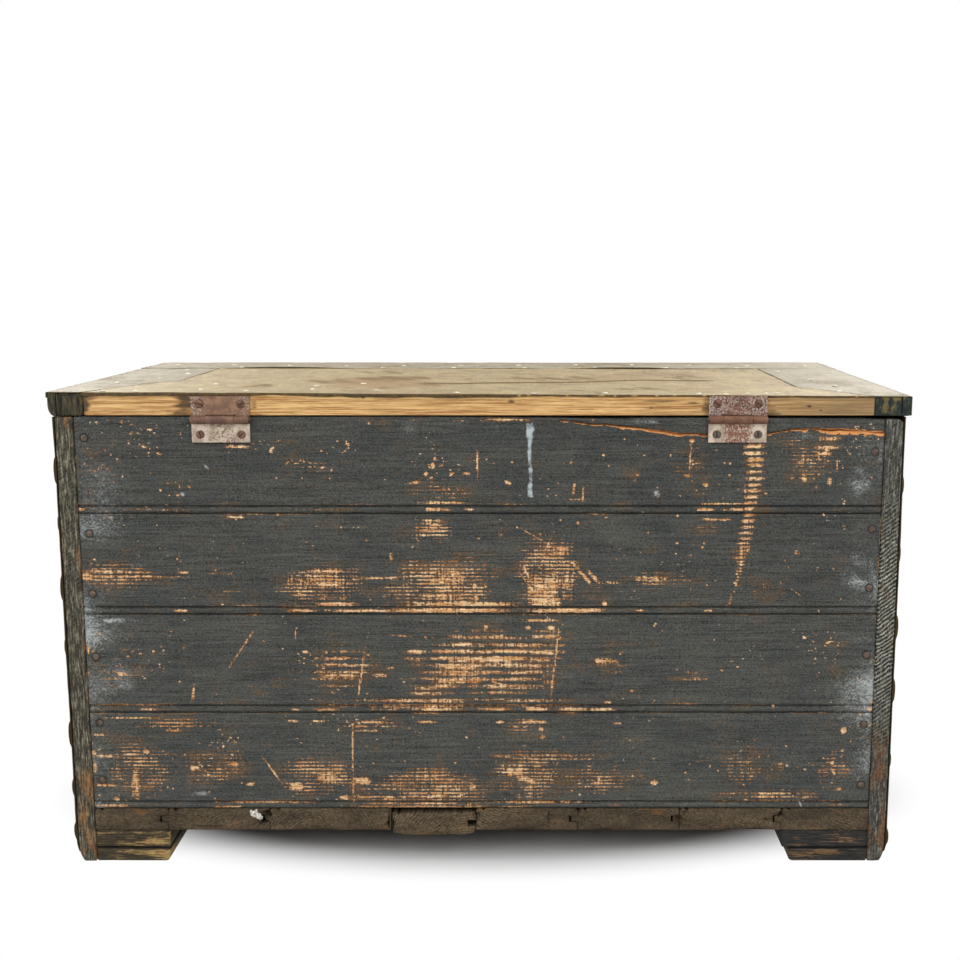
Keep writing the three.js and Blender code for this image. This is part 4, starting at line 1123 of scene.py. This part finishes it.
def brass_sheet(name, bright, dull, stain_and_shade, size, roughness, shine):
    """Old sheet brass: soft dull yellow metal, darker and rougher where it has tarnished, and where shade is
    painted.
    """
    channels = ("browned", "tarnish_and_shade")
    material, tree, shader, place, browned, low = start_finish(name, roughness, shine, channels=channels)
    clouds = figure(tree, place, size, 6, 0.7)
    tone = add(tree, "MapRange", {0: clouds, 1: 0.34, 2: 0.7})
    base = add(tree, "Mix", {0: tone, 6: linear(bright), 7: linear(dull)}, data_type="RGBA")
    fine = figure(tree, place, (3, 14, 3), 5, 0.8)
    base = shaded(tree, base, fine, 0.36, 0.64, 0.78, 1.2)
    curls = figure(tree, place, (26, 15, 9), 6, 0.8)
    base = coat(tree, base, brass_brown, [(browned, 1), (curls, 1.6)], 1.05, 1.6)
    grit = figure(tree, place, (4, 4, 4), 5, 0.7)
    soiled_and_shaded = [(low, 1), (grit, 0.9)]
    dirt_and_shade = eased(tree, soiled_and_shaded, 0.6, 1.1)
    tint = add(tree, "Mix", {0: dirt_and_shade, 6: base, 7: linear(stain_and_shade)}, data_type="RGBA")
    tint = coat(tree, tint, brass_dirt_and_shade, soiled_and_shaded, 1.2, 1.6, 0.8)
    rough = add(tree, "MapRange", {0: dirt_and_shade, 3: roughness, 4: roughness + 0.25})
    tree.links.new(rough, shader.inputs["Roughness"])
    finished(tree, shader, tint, figure(tree, place, (7, 7, 7), 4), 0.35, 0.5)
    return material


# The sheets have gone brown in their hollows, and the tack heads are rubbed paler and shinier.
wall_brass = brass_sheet("tarnished_worked_brass", "a08446", "80683a", "41341c", (60, 60, 60), 0.42, 0.8)
tack_brass = brass_sheet("brass_tacks", "d3cbb4", "a69c82", "6d5a34", (9, 9, 9), 0.35, 0.7)
sheet_step = 2.2
brass_thickness = 0.7
# Bosses along the rear edge of each end: height above the ground, radius and how far they stand out.
edge_bosses = {
    "right": [
        (365, 13, 1.9), (318, 8, 1.1), (259, 12, 1.9), (205, 8, 1.1), (123, 13, 2.2), (72, 9, 1.7),
        (30, 9, 2.2),
    ],
    "left": [(352, 9, 1.1), (290, 8, 1.0), (223, 12, 1.9), (164, 12, 1.9), (98, 8, 1.1), (24, 9, 2.0)],
}
for side, sign in (("left", -1), ("right", 1)):
    node = f"{side}_end_brass_sheet"
    low, high = node_box(node)
    places, heights = [stations(low[a], high[a], sheet_step) for a in (1, 2)]
    deep, up = np.meshgrid(places, heights, indexing="ij")
    middle = (low[1] + high[1]) / 2
    relief = worked_brass(deep - middle, up, (high[1] - low[1]) / 2, low[2], high[2])
    flat = listed(np.full(deep.size, 40.0), deep, up)
    for boss_z, radius, height in edge_bosses[side]:
        relief = np.maximum(relief, dome(np.hypot(deep - high[1] + 5, up - boss_z), radius, height))
    relief += 0.35 * (1 + drift(flat, (40, 34, 34), 7 + sign)).reshape(deep.shape)
    relief += 0.12 * drift(flat, (9, 8, 8), 9 + sign).reshape(deep.shape)
    relief = np.clip(relief, 0.05, 4.2) * np.clip((up - low[2]) / 9, 0.05, 1)
    skin, core = (high[0], low[0]) if sign > 0 else (low[0], high[0])
    tucked = sign * 1.5 * ramp(up, low[2] + 9, low[2]) ** 2
    outer = np.stack([skin + sign * relief - tucked, deep, up], axis=-1)
    inner = np.stack([core - tucked, deep, up], axis=-1)
    # Brown in the hollows of the relief, and darker in a band along the rear edge.
    tarnish_and_shade = np.maximum(np.clip(0.7 - relief / 2.2, 0, 1), 0.82 * ramp(deep, high[1] - 20, high[1] - 4))
    channels = {"tarnish_and_shade": np.tile(tarnish_and_shade.ravel(), 2)}
    name = f"{side}_end_brass_worked"
    piece(name, [slab(outer, inner)], "carcass", wall_brass, [node], channels)

low, high = node_box("front_brass_sheet")
bend_radius = 0.7
returns = stations(low[1] + bend_radius, high[1], sheet_step)
section = [(low[0], place, -1, 0) for place in returns[::-1]]
straight = stations(low[0] + bend_radius, high[0] - bend_radius, sheet_step)
section += [(place, low[1], 0, -1) for place in straight]
section += [(high[0], place, 1, 0) for place in returns]
heights = stations(low[2], high[2], sheet_step)
along, up = np.meshgrid(np.arange(len(section)), heights, indexing="ij")
x, y, out_x, out_y = np.moveaxis(np.array(section)[along], -1, 0)
relief = worked_brass(x, up, high[0], low[2], high[2]) * np.clip(-out_y, 0, 1)
flat = listed(x, y, up)
relief += 0.3 * (1 + drift(flat, (44, 44, 40), 77)).reshape(up.shape) * -out_y
relief += 0.1 * (1 + drift(flat, (9, 9, 9), 78)).reshape(up.shape)
outer = np.stack([x + out_x * relief, y + out_y * relief, up], axis=-1)
inner_x = np.clip(x, low[0] + brass_thickness, high[0] - brass_thickness)
inner = np.stack([inner_x, np.maximum(y, low[1] + brass_thickness), up], axis=-1)
channels = {"tarnish_and_shade": np.tile(np.clip(0.7 - relief / 2.2, 0, 1).ravel(), 2)}
sheet = [slab(outer, inner)]
piece("front_brass_worked", sheet, "carcass", wall_brass, ["front_brass_sheet"], channels)

# The tacks of the front and the ends. Small round brass heads, driven along the edges of each sheet.
tack_radius = 2.6
tack_height = 1.1
tack_shape = [(0.7, -6), (0.7, 0), (tack_radius, 0), (tack_radius * 0.92, 0.4 * tack_height)]
tack_shape += [(tack_radius * 0.6, 0.85 * tack_height), (0.4, tack_height)]
tack_inset = 9
tack_pitch = 62
wall_half = 373
wall_top = 412.2
end_sheet_foot = 10
end_tack_seat = 372.4
wall_tacks = []
for x in stations(tack_inset - wall_half, wall_half - tack_inset, tack_pitch):
    for z in (low[2] + tack_inset, wall_top - tack_inset):
        wall_tacks.append(turned(tack_shape, (x, low[1] - 0.2, z), (0, -1, 0), 12))
piece("front_brass_tacks", wall_tacks, "carcass", tack_brass)
tack_rows = (end_sheet_foot + tack_inset, wall_top - tack_inset)
end_tacks = list(itertools.product(stations(-160, back_face - tack_inset, tack_pitch), tack_rows))
end_tacks += [(back_face - tack_inset, z) for z in stations(60, 370, tack_pitch)]
for side, sign in (("left", -1), ("right", 1)):
    heads = [turned(tack_shape, (sign * end_tack_seat, y, z), (sign, 0, 0), 12) for y, z in end_tacks]
    piece(f"{side}_end_brass_tacks", heads, "carcass", tack_brass)

# The lid's planks. Four matched pine planks lie from end to end, bead underneath. The rear edge of
# the last one shows above the back as bare orange-yellow pine with knots and dark stains.
lid_bottom = 413
lid_top = 433
lid_half = 377
lid_front = -192
lid_depth = 376
lid_drop = 3.5


def settle(points):
    """Lowers the top of the lid towards its rear left corner, as the photograph shows."""
    back_share = np.clip((points[:, 1] - lid_front) / lid_depth, 0, 1.02)
    share = (lid_half - points[:, 0]) / (2 * lid_half) * back_share
    points[:, 2] -= lid_drop * np.clip(share, 0, 1) * np.clip((points[:, 2] - lid_bottom) / 20, 0, 1.05)
    return points


# Planed pine gone orange-yellow: dark fibres, rubbed nearly smooth, and greyer at its left end.
rear_edge, tree, shader, place, stain_and_shade, under = start_finish(
    "aged_orange_pine_edge", 0.62, channels=("stain_and_shade", "inside")
)
fibres = figure(tree, place, (44, 2.2, 1.1), 7, 0.72)
broad = figure(tree, place, (130, 9, 3.2), 4)
base = coat(tree, "99632f", "f6cc8a", [(fibres, 1)], 0.34, 0.66)
axes = add(tree, "SeparateXYZ", {0: place}).node.outputs
greyer = eased(tree, [(axes["X"], 1)], -150.0, -340.0, 0.62)
greyer = add(tree, "Math", {0: broad, 1: greyer}, operation="MULTIPLY")
greyer = add(tree, "Math", {0: greyer, 1: 2.4}, operation="MULTIPLY", use_clamp=True)
base = add(tree, "Mix", {0: greyer, 6: base, 7: linear("7f6a4a")}, data_type="RGBA")
# The stain colour is also drawn along the edge's top and bottom as painted shade.
tint = coat(tree, base, "4a3a26", [(stain_and_shade, 1), (fibres, 1.6)], 1.12, 1.66)
planed = figure(tree, place, (80, 7, 5), 6, 0.75)
planed = add(tree, "MapRange", {0: planed, 1: 0.34, 2: 0.66})
planed = add(tree, "Mix", {0: planed, 6: linear("6d4d2b"), 7: linear("b59061")}, data_type="RGBA")
tint = add(tree, "Mix", {0: under, 6: tint, 7: planed}, data_type="RGBA")
nicks = figure(tree, place, (12, 2.5, 0.9), 5, 0.7)
nicked = {0: nicks, 1: 0.3, 2: 0.44, 3: 0.5, 4: 1.0}
nicked = add(tree, "MapRange", nicked, interpolation_type="SMOOTHSTEP")
tint = add(tree, "VectorMath", {0: tint, "Scale": nicked}, operation="SCALE")
finished(tree, shader, tint, fibres, 0.5, 0.4)
# Stains and knots on the rear edge: across, up, length, height and how dark.
edge_stains = [
    (345, 423, 12, 28, 0.95), (340, 428, 20, 5, 0.7), (257, 424, 18, 26, 0.85), (262, 416, 12, 8, 0.7),
    (196, 423, 8, 22, 0.6), (-198, 423, 10, 22, 0.7), (-255, 418, 12, 12, 0.6), (-160, 428, 40, 4, 0.6),
    (182, 424, 10, 2, 0.4), (120, 426, 18, 1.5, 0.3), (101, 432, 4, 5, 1.0), (-28, 427, 7, 4, 0.8),
    (-150, 421, 5, 3, 0.9), (-187, 426, 14, 2, 0.9), (-60, 418, 40, 1.2, 0.4), (-288, 422.6, 4, 3, 1.2),
    (-298, 419, 3, 2, 0.9), (-316, 420, 50, 9, 0.45), (-335, 424, 12, 3, 0.5), (0, 431, 160, 1.2, 0.35),
    (-180, 430, 80, 1.2, 0.4), (60, 414, 120, 1.5, 0.5), (-160, 415, 120, 1.5, 0.6),
    (192, 414, 12, 3, 0.6), (-260, 415, 10, 3, 0.6),
]
last_plank = 4
for number in range(1, last_plank + 1):
    node = f"lid_plank_{number}"
    low, high = node_box(node)
    at_rear = number == last_plank
    tongue = number > 1
    width = high[1] - low[1] - (lapped if tongue else 0)
    ring = matched_ring(width, lid_top - lid_bottom, tongue, not at_rear, 1.4 if at_rear else 9)
    if at_rear:
        edge_rows = [(0, place) for place in stations(1.2, 19, 1.0)]
        ring = np.array([*map(tuple, ring[1:-1]), (0.5, 19.6), *edge_rows[::-1], (0.5, 0.2)])
    outline = listed(0 * ring[:, 0], high[1] - ring[:, 0], lid_top - ring[:, 1])
    points, faces = drawn_out(outline, 0, stations(low[0], high[0], 1.6 if at_rear else 12))
    x, y, z = points.T
    stain_and_shade = np.zeros(len(points))
    if at_rear:
        rear = y > high[1] - 1.5
        y -= np.where(rear, 0.25 + 0.25 * drift(points, (90, 9, 7), 140), 0)
        z += np.where(rear & (z < 414), 0.5 + 0.5 * drift(points, (30, 9, 9), 141), 0)
        ragged = 0.7 * drift(points, (30, 9, 1.9), 142)
        for *spot, dark in edge_stains:
            away = oval(x, z, spot) + ragged
            stain_and_shade = np.maximum(stain_and_shade, dark * np.clip(1.3 - 0.8 * away, 0, 1) * rear)
        # Darker along the top, under the brass's folded lip, and along the bottom: painted shade, with dirt.
        at_edges = np.maximum(ramp(z, 430.5, 432.5), ramp(z, 414.6, 413.2))
        stain_and_shade = np.maximum(stain_and_shade, 0.45 * at_edges * (1 + 0.5 * drift(points, (24, 9, 9), 143)))
    inside = ramp(y, high[1], high[1] - 3) if at_rear else 1
    channels = {"stain_and_shade": stain_and_shade, "inside": inside}
    piece(node + "_matched", [(settle(points), faces)], "lid", rear_edge, [node], channels)

# The lid's clamps and edging. A clamp lies across each end of the planks and a thin strip goes round
# outside it. The front and right strips are moulded. All are stained nearly black.
dark_wood = old_pine("black_stained_pine_clamps", (1.7, 12, 11), "1c1a14", "4c4634", "6b5230", 0.3, 0.7)
green_wood = old_pine("green_black_pine_clamp", (5, 12, 9), "1b211f", "3f453a", "6c5c34", 0.58, 0.5)
clamp_arris = 1.2
clamp_cracks = {"left": 3, "right": 7}
for side, finish in (("left", green_wood), ("right", dark_wood)):
    node = f"lid_clamp_{side}"
    low, high = node_box(node)
    points, faces = worn_bar(low, high, 1, clamp_arris, (1.3, 9, 1.3))
    points = worn(points, low, high, clamp_arris, 0.6, 150, (12, 20, 12))
    cracks = np.maximum(0, drift(points, (2.6, 40, 22), 152) - 0.4)
    points[:, 1] -= np.where(points[:, 1] > high[1] - 2.4, clamp_cracks[side] * cracks, 0)
    piece(node + "_end", [(settle(points), faces)], "lid", finish, [node])
moulding_width = 7
moulding_foot = 1.2
moulding_curve = 10
# The two profiles of the strips: out from the planks, and up from their underside.
mould = [(0, 20), (moulding_width, 20)]
for turn in np.radians(np.linspace(0, 90, 12)):
    out = moulding_foot + (moulding_width - moulding_foot) * math.cos(turn)
    mould.append((out, moulding_curve * (1 - math.sin(turn))))
mould.append((0, 0))
square = [(0, 20), (3.5, 20), (7, 19.4), (7, 15), (7, 9), (7, 4), (6.6, 0.4), (3.5, 0), (0, 0)]
strips = [("right", 1, mould, dark_wood), ("left", 1, square, green_wood), ("front", 0, mould, dark_wood)]
for side, axis, profile, finish in strips:
    node = f"lid_edging_{side}"
    low, high = node_box(node)
    outline = np.zeros((len(profile), 3))
    outline[:, 2] = lid_bottom + np.array(profile)[:, 1]
    out = np.array(profile)[:, 0]
    outline[:, 1 - axis] = low[0] + out if side == "right" else high[1 - axis] - out
    points, faces = drawn_out(outline, axis, stations(low[axis], high[axis], 6))
    points[:, 2] += 0.3 * drift(points, (30, 30, 30), 160)
    piece(node + "_strip", [(settle(points), faces)], "lid", finish, [node])

# The lid's brass. A middle sheet with a border of three more, tacked down and folded over the edging.
# It is dull and pale, dented by use, with wavy seams that have lifted, dark with dirt and painted shade.
lid_brass = brass_sheet("dull_khaki_lid_brass", "a5905c", "7d6536", "6a5226", (20, 26, 20), 0.5, 0.25)
border_brass = brass_sheet("pale_lid_border_brass", "96896a", "716444", "6a5a34", (20, 26, 20), 0.5, 0.25)
sheet_low = 433.3
sheet_top = sheet_low + brass_thickness
brass_step = 2.4
mitre_x = 292.2
mitre_wide = 55
# The leaves of the two hinges: how far from the middle, half their width, and their top, which the
# brass stays clear of.
hinge_middle = 225.5
leaf_half = 28
leaf_top = 430.8
# How far forward each mitre reaches, as the photograph shows them.
mitre_fronts = {"left": 112, "right": 52}
# Dents in the middle sheet: across, back from the middle, length, width and depth.
dents = [
    (150, 60, 60, 60, 1.2), (90, 20, 70, 44, 1.4), (205, 110, 30, 40, 0.9), (40, 90, 44, 50, 0.9),
    (-60, 20, 80, 60, 0.9), (-150, 120, 60, 40, 0.8), (-200, 10, 60, 70, 0.7), (120, -50, 90, 40, 1.1),
]
# Where handling has browned the brass: across, back from the middle, length, width and strength.
brown_places = [
    (105, 70, 130, 150, 0.85), (60, 110, 80, 60, 0.6), (-130, 20, 200, 60, 0.6), (225, 132, 70, 26, 0.55),
    (-200, 128, 90, 34, 0.6), (-20, 140, 120, 30, 0.35), (-60, -60, 160, 60, 0.4), (330, 60, 40, 90, 0.3),
    (-330, 20, 40, 110, 0.35), (150, -140, 220, 40, 0.4),
]


def dented(x, y, seed):
    """How much higher or lower the lid's brass lies than flat, from use."""
    spot = listed(x, y, 0 * x)
    rise = 0.5 * drift(spot, (90, 60, 60), seed) + 0.4 * drift(spot, (34, 26, 26), seed + 1)
    rise += 0.16 * drift(spot, (11, 9, 9), seed + 2)
    pit = np.maximum(0, drift(spot, (15, 12, 12), seed + 3) - 0.5)
    rise = (rise - 1.6 * pit).reshape(x.shape)
    for *dent, depth in dents:
        rise -= depth * np.exp(-(oval(x, y, dent) ** 2)) * (1 + 0.4 * np.sin(x / 5 + y / 9))
    return rise


def lid_sheet(name, node, x, y, z, out_x, out_y, seed, dirt_and_shade, lift=0):
    """One sheet of the lid's brass over a grid of places, its skin facing up and out."""
    flat = np.clip(1 - np.hypot(out_x, out_y), 0, 1)
    dips = dented(x, y, seed)
    rise = np.clip(dips * 0.5, -0.2, 0.7) + lift
    raised = np.maximum(lift - 0.5, 0) - brass_thickness
    outer = np.stack([x + out_x * 0.15, y + out_y * 0.15, z + rise * flat], axis=-1)
    inner = [x - out_x * brass_thickness, y - out_y * brass_thickness, z + raised * flat]
    points, faces = slab(outer, np.stack(inner, axis=-1))
    outside_dirt_and_shade = np.maximum(dirt_and_shade, np.clip(0.1 - 0.42 * dips, 0, 0.75))
    # The underside is drawn fully dark: painted shade under the sheet's lifted edges.
    tarnish_and_shade = np.concatenate([outside_dirt_and_shade.ravel(), np.full(x.size, 1.2)])
    brown = np.zeros(x.shape)
    for *spot, strength in brown_places:
        brown = np.maximum(brown, strength * np.exp(-(oval(x, y, spot) ** 2)))
    points = settle(points)
    near_leaf = (np.abs(np.abs(points[:, 0]) - hinge_middle) < leaf_half) & (points[:, 1] > back_face + 0.05)
    points[:, 2] = np.where(near_leaf, np.maximum(points[:, 2], leaf_top), points[:, 2])
    finish = lid_brass if node == "lid_brass_middle" else border_brass
    channels = {"tarnish_and_shade": tarnish_and_shade, "browned": np.tile(brown.ravel(), 2)}
    piece(name, [(points, faces)], "lid", finish, [node], channels)


def beside_edge(x, y):
    """How dirty the brass is along the lid's outer edges."""
    gap = np.minimum(np.minimum(lid_half - np.abs(x), y - lid_front), back_face - y)
    return np.clip(0.5 - gap / 14, 0, 0.5)


for side, sign in (("left", -1), ("right", 1)):
    node = f"lid_brass_{side}"
    low, high = node_box(node)
    front = mitre_fronts[side]
    skin = high[0] if sign > 0 else -low[0]
    line = [(place, sheet_top, 0) for place in stations(mitre_x, skin - 1.0, brass_step)]
    line += [(skin - 0.3, sheet_top - 0.3, 0.7)]
    line += [(skin, place, 1) for place in stations(low[2], sheet_top - 1.0, 2.0)[::-1]]
    share = np.linspace(0, 1, int(283 / brass_step))
    across, run = np.meshgrid(np.arange(len(line)), share, indexing="ij")
    x, z, out = np.moveaxis(np.array(line)[across], -1, 0)
    end = np.minimum(front + (x - mitre_x) * (high[1] - front) / mitre_wide, high[1])
    y = low[1] + run * (end - low[1])
    from_seam = np.minimum(x - mitre_x, (end - y) + 9 * (end >= high[1] - 0.1))
    # Dark along the mitre seam: painted shade, with dirt; dirty along the lid's outer edges.
    dirt_and_shade = np.maximum(beside_edge(x, y), np.clip(1.25 - from_seam / 1.6, 0, 1.25))
    x = x + out * 0.12 * (1 - ramp(y, high[1], high[1] - 6))
    lid_sheet(node + "_border", node, sign * x, y, z, sign * out, 0 * out, 170 + sign, dirt_and_shade)

# The front sheet. It laps over the middle one, and its edge has lifted in two places. Its front is
# folded over the moulding and follows it.
low, high = node_box("lid_brass_front")
line = [(place, sheet_top, 0) for place in stations(low[1] + 1.0, high[1], brass_step)[::-1]]
line += [(low[1] + 0.3, sheet_top - 0.3, 0.7)]
line += [(low[1], place, 1) for place in stations(423, sheet_top - 1, 2.0)[::-1]]
planks_front = -183.9
for turn in np.radians(np.linspace(8, 55, 8)):
    reach = moulding_foot + (moulding_width - moulding_foot + 1) * math.cos(turn)
    fold_z = lid_bottom + moulding_curve - (moulding_curve + 1) * math.sin(turn)
    line.append((planks_front - reach, fold_z, 1))
across, run = np.meshgrid(np.arange(len(line)), stations(low[0], high[0], brass_step), indexing="ij")
y, z, out = np.moveaxis(np.array(line)[across], -1, 0)
lifted = 1.5 * np.exp(-(((run - 222) / 52) ** 4)) + 1.3 * np.exp(-(((run + 146) / 46) ** 4)) + 0.25
lift = lifted * np.clip(1 - (high[1] - y) / 9, 0, 1) ** 2
# Dark along its lifted rear edge: painted shade, with dirt.
dirt_and_shade = np.maximum(beside_edge(run, y), np.clip(0.8 - (high[1] - y) / 4, 0, 0.8))
lid_sheet("lid_brass_front_border", "lid_brass_front", run, y, z, 0 * out, -out, 180, dirt_and_shade, lift)

# The middle sheet. It is two pieces wide: the front one laps over the rear one in a wavy line. Its
# rear edge is folded a little down over the plank.
low, high = node_box("lid_brass_middle")
# The fold at the rear edge: how far back each row lies, and how far it has come down.
lip_rows = [(184.75, 0.25), (185.0, 0.8), (185.1, 1.6), (185.1, 2.6)]
rows = [(y, 0) for y in stations(low[1], high[1] - 0.4, 2.0)] + lip_rows
share, run = np.meshgrid(stations(-1, 1, brass_step / 320), np.arange(len(rows)), indexing="ij")
y, drop = np.moveaxis(np.array(rows)[run], -1, 0)
half_width = 291.8
wide_left, wide_right = [
    half_width + ramp(y, mitre_fronts[side], high[1]) * mitre_wide for side in ("left", "right")
]
x = np.where(share < 0, share * wide_left, share * wide_right)
place_2d = listed(x, y, 0 * x)
lip_wave = 0.9 + 0.5 * drift(place_2d, (60, 900, 9), 196) + 0.25 * drift(place_2d, (12, 900, 9), 197)
lip_wave = lip_wave.reshape(x.shape)
crumbs = np.clip(drift(place_2d, (2.4, 900, 9), 198) * 6 - 3.4, 0, 1).reshape(x.shape)
crumbs = crumbs * ((x < -20) | (x > 330))
lap_y = 62 + 20 * np.sin((x + 90) / 78) + 4 * np.sin(x / 19)
in_lap = ramp(x, 70, 50) * ramp(x, -235, -215)
lift = 0.9 * np.clip((lap_y - y) / 2.2 + 0.5, 0, 1) * np.clip(1 - (lap_y - y) / 50, 0, 1) * in_lap
seam = np.clip(1.2 - np.abs(y - lap_y - 0.5) / 2, 0, 1) * in_lap
from_side = np.where(x > 0, wide_right - x, wide_left + x)
lift = lift + 0.5 * ramp(from_side, 9, 0) * (np.sin(y / 17) > -0.2)
# Dark along the lap seam and the mitres: painted shade, with dirt.
dirt_and_shade = np.maximum(seam, np.clip(1.25 - from_side / 1.6, 0, 1.25))
# The folded rear lip is drawn dark: painted shade, with pale crumbs left out of it.
dirt_and_shade = np.maximum(dirt_and_shade, ramp(y, 182.5, 184.5) * (1.0 - 1.2 * crumbs * (x > -330)))
z = sheet_top - drop * lip_wave
out_y = 0.99 * (y > high[1])
lift = lift * (y < high[1])
lid_sheet("lid_brass_middle_sheet", "lid_brass_middle", x, y, z, 0 * x, out_y, 190, dirt_and_shade, lift)

# The tacks in the lid's brass. The same small heads, across and back from the middle line as far as
# they can be seen, and then in two rows along the front border.
lid_tacks = [
    (248, 158), (248, 102), (344, 90), (312, 136), (206, 168), (330, 176), (300, 178), (262, 174),
    (150, 150), (92, 156), (152, 118), (112, 92), (-192, 176), (-216, 178), (-236, 172), (-252, 170),
    (-262, 168), (-322, 150), (-330, 96), (-322, 30), (-306, -60), (318, 40), (306, -20), (320, -70),
    (20, 176), (-48, 178), (-110, 174),
]
lid_tacks += [(x, -140 + 9 * math.sin(x)) for x in stations(-350, 350, 64)]
lid_tacks += [(x, -108) for x in stations(-270, 270, 78)]
heads = []
for x, y in lid_tacks:
    seat = np.array([[x, y, sheet_top + 0.15]])
    heads.append(turned(tack_shape, settle(seat)[0], (0, 0, 1), 12))
piece("lid_brass_tacks", heads, "lid", tack_brass)

# The hinges. Two steel butt hinges with loose rusty pins, screwed to the lid's edge and to the back.
# The knuckles and lid leaves are brown with rust, and the body leaves are rubbed to pitted grey metal.
# The leaves lie in front of this plane, and the knuckles behind it.
knuckle_y = 187.0


def hinge_steel(name, plate_low, plate_high, pits, spread, centred, knuckle_low, knuckle_high):
    """Old hinge steel: a pitted plate, with its knuckles round the pin all brown with rust."""
    material, tree, shader, place = start_finish(name, 0.55, 0.3)
    blotch = figure(tree, place, (9, 9, 9), 5, 0.65)
    plate = coat(tree, plate_low, plate_high, [(blotch, 1)], 0.38, 0.62)
    brown = coat(tree, knuckle_low, knuckle_high, [(blotch, 1)], 0.38, 0.62)
    grit = figure(tree, place, (1.5, 1.5, 1.5), 5, 0.75)
    axes = add(tree, "SeparateXYZ", {0: place}).node.outputs
    side_way = add(tree, "Math", {0: axes["X"]}, operation="ABSOLUTE")
    side_way = add(tree, "Math", {0: side_way, 1: hinge_middle}, operation="SUBTRACT")
    side_way = add(tree, "Math", {0: side_way}, operation="ABSOLUTE")
    centre = {0: side_way, 1: 6.0, 2: 20.0, 3: centred, 4: 0.0}
    centre = add(tree, "MapRange", centre, interpolation_type="SMOOTHSTEP")
    pitted = eased(tree, [(centre, 1), (grit, 1)], spread, spread + 0.08)
    plate = add(tree, "Mix", {0: pitted, 6: plate, 7: linear(pits)}, data_type="RGBA")
    round_pin = add(tree, "Math", {0: axes["Y"], 1: knuckle_y}, operation="GREATER_THAN")
    tint = add(tree, "Mix", {0: round_pin, 6: plate, 7: brown}, data_type="RGBA")
    finished(tree, shader, tint, pitted, 0.7, -0.3)
    return material


# For each leaf: its finish, the plate in two tones, its pits, how few they are and how they crowd at
# the middle, and the knuckles in two tones.
leaf_looks = {
    "right_lid": ("rusted_lid_leaf_brown", "6f5140", "936f56", "b8a797", 0.5, -0.12, "5f4434", "7a5844"),
    "left_lid": ("rusted_lid_leaf_red", "5a3a2c", "7d503e", "b3a396", 0.45, -0.04, "6a4634", "855c45"),
    "right_body": ("pitted_body_leaf", "a39180", "cbbaa6", "6b4a38", 0.6, 0.08, "62463a", "80604c"),
    "left_body": ("rust_pitted_body_leaf", "a99785", "d2c2ae", "82503c", 0.63, 0.2, "6a4634", "855c45"),
}
hinge_parts = {f"hinge_{leaf}_leaf": hinge_steel(*look) for leaf, look in leaf_looks.items()}
hinge_parts |= {"hinge_left_pin": nail_rust, "hinge_right_pin": nail_rust}
leaf_bevel = 0.3
for part, finish in hinge_parts.items():
    soft = finished_node(part, finish).modifiers.new("worn_edges", "BEVEL")
    soft.width = leaf_bevel * MM
    soft.segments = 2
    soft.limit_method = "ANGLE"
    soft.angle_limit = math.radians(40)

# The hinge screws. Slotted countersunk steel screws, two to a leaf, with brown slightly domed heads.
head_radius = 3.5
slot_half = 0.6
screw_rust = rusty_iron("rusty_screw_heads", "4f3526", "7a5541", "a08470", 0.3, 0.55, 1.2)
screw_grey = rusty_iron("dark_screw_heads", "3b332c", "62564a", "8a7c6e", 0.3, 0.55, 1.2)
# How far the slots of each leaf's two screws are turned, in degrees.
screw_turns = {
    "left_lid": (38, 42), "left_body": (80, 85), "right_lid": (-15, 20), "right_body": (-42, 75),
}


def half_head(middle, turn):
    """One half of a slotted screw head, on one side of its slot."""
    rings = []
    for scale, height in ((1.0, -1.2), (1.0, -0.15), (0.9, 0.08), (0.62, 0.24), (0.34, 0.3)):
        radius = head_radius * scale
        first = math.asin(slot_half / radius)
        angles = np.linspace(first, math.pi - first, 14)
        flat = listed(radius * np.cos(angles), radius * np.sin(angles))
        flat = flat @ np.array([[math.cos(turn), math.sin(turn)], [-math.sin(turn), math.cos(turn)]])
        rings.append(np.insert(flat, 1, height, axis=1) + middle)
    return loft(np.array(rings))


for side, part, number in itertools.product(("left", "right"), ("lid", "body"), (1, 2)):
    node = f"hinge_{side}_{part}_screw_{number}"
    low, high = node_box(node)
    middle = ((low[0] + high[0]) / 2, high[1], (low[2] + high[2]) / 2)
    shank = [(0.3, -17.6), (1.9, -15.5), (1.9, -2.6), (head_radius * 0.96, -1.15)]
    turn = math.radians(screw_turns[f"{side}_{part}"][number - 1])
    parts = [turned(shank, middle, around=28), half_head(middle, turn), half_head(middle, turn + math.pi)]
    body = "lid" if part == "lid" else "carcass"
    finish = screw_grey if (side, part) == ("left", "body") else screw_rust
    piece(node + "_slotted", parts, body, finish, [node])
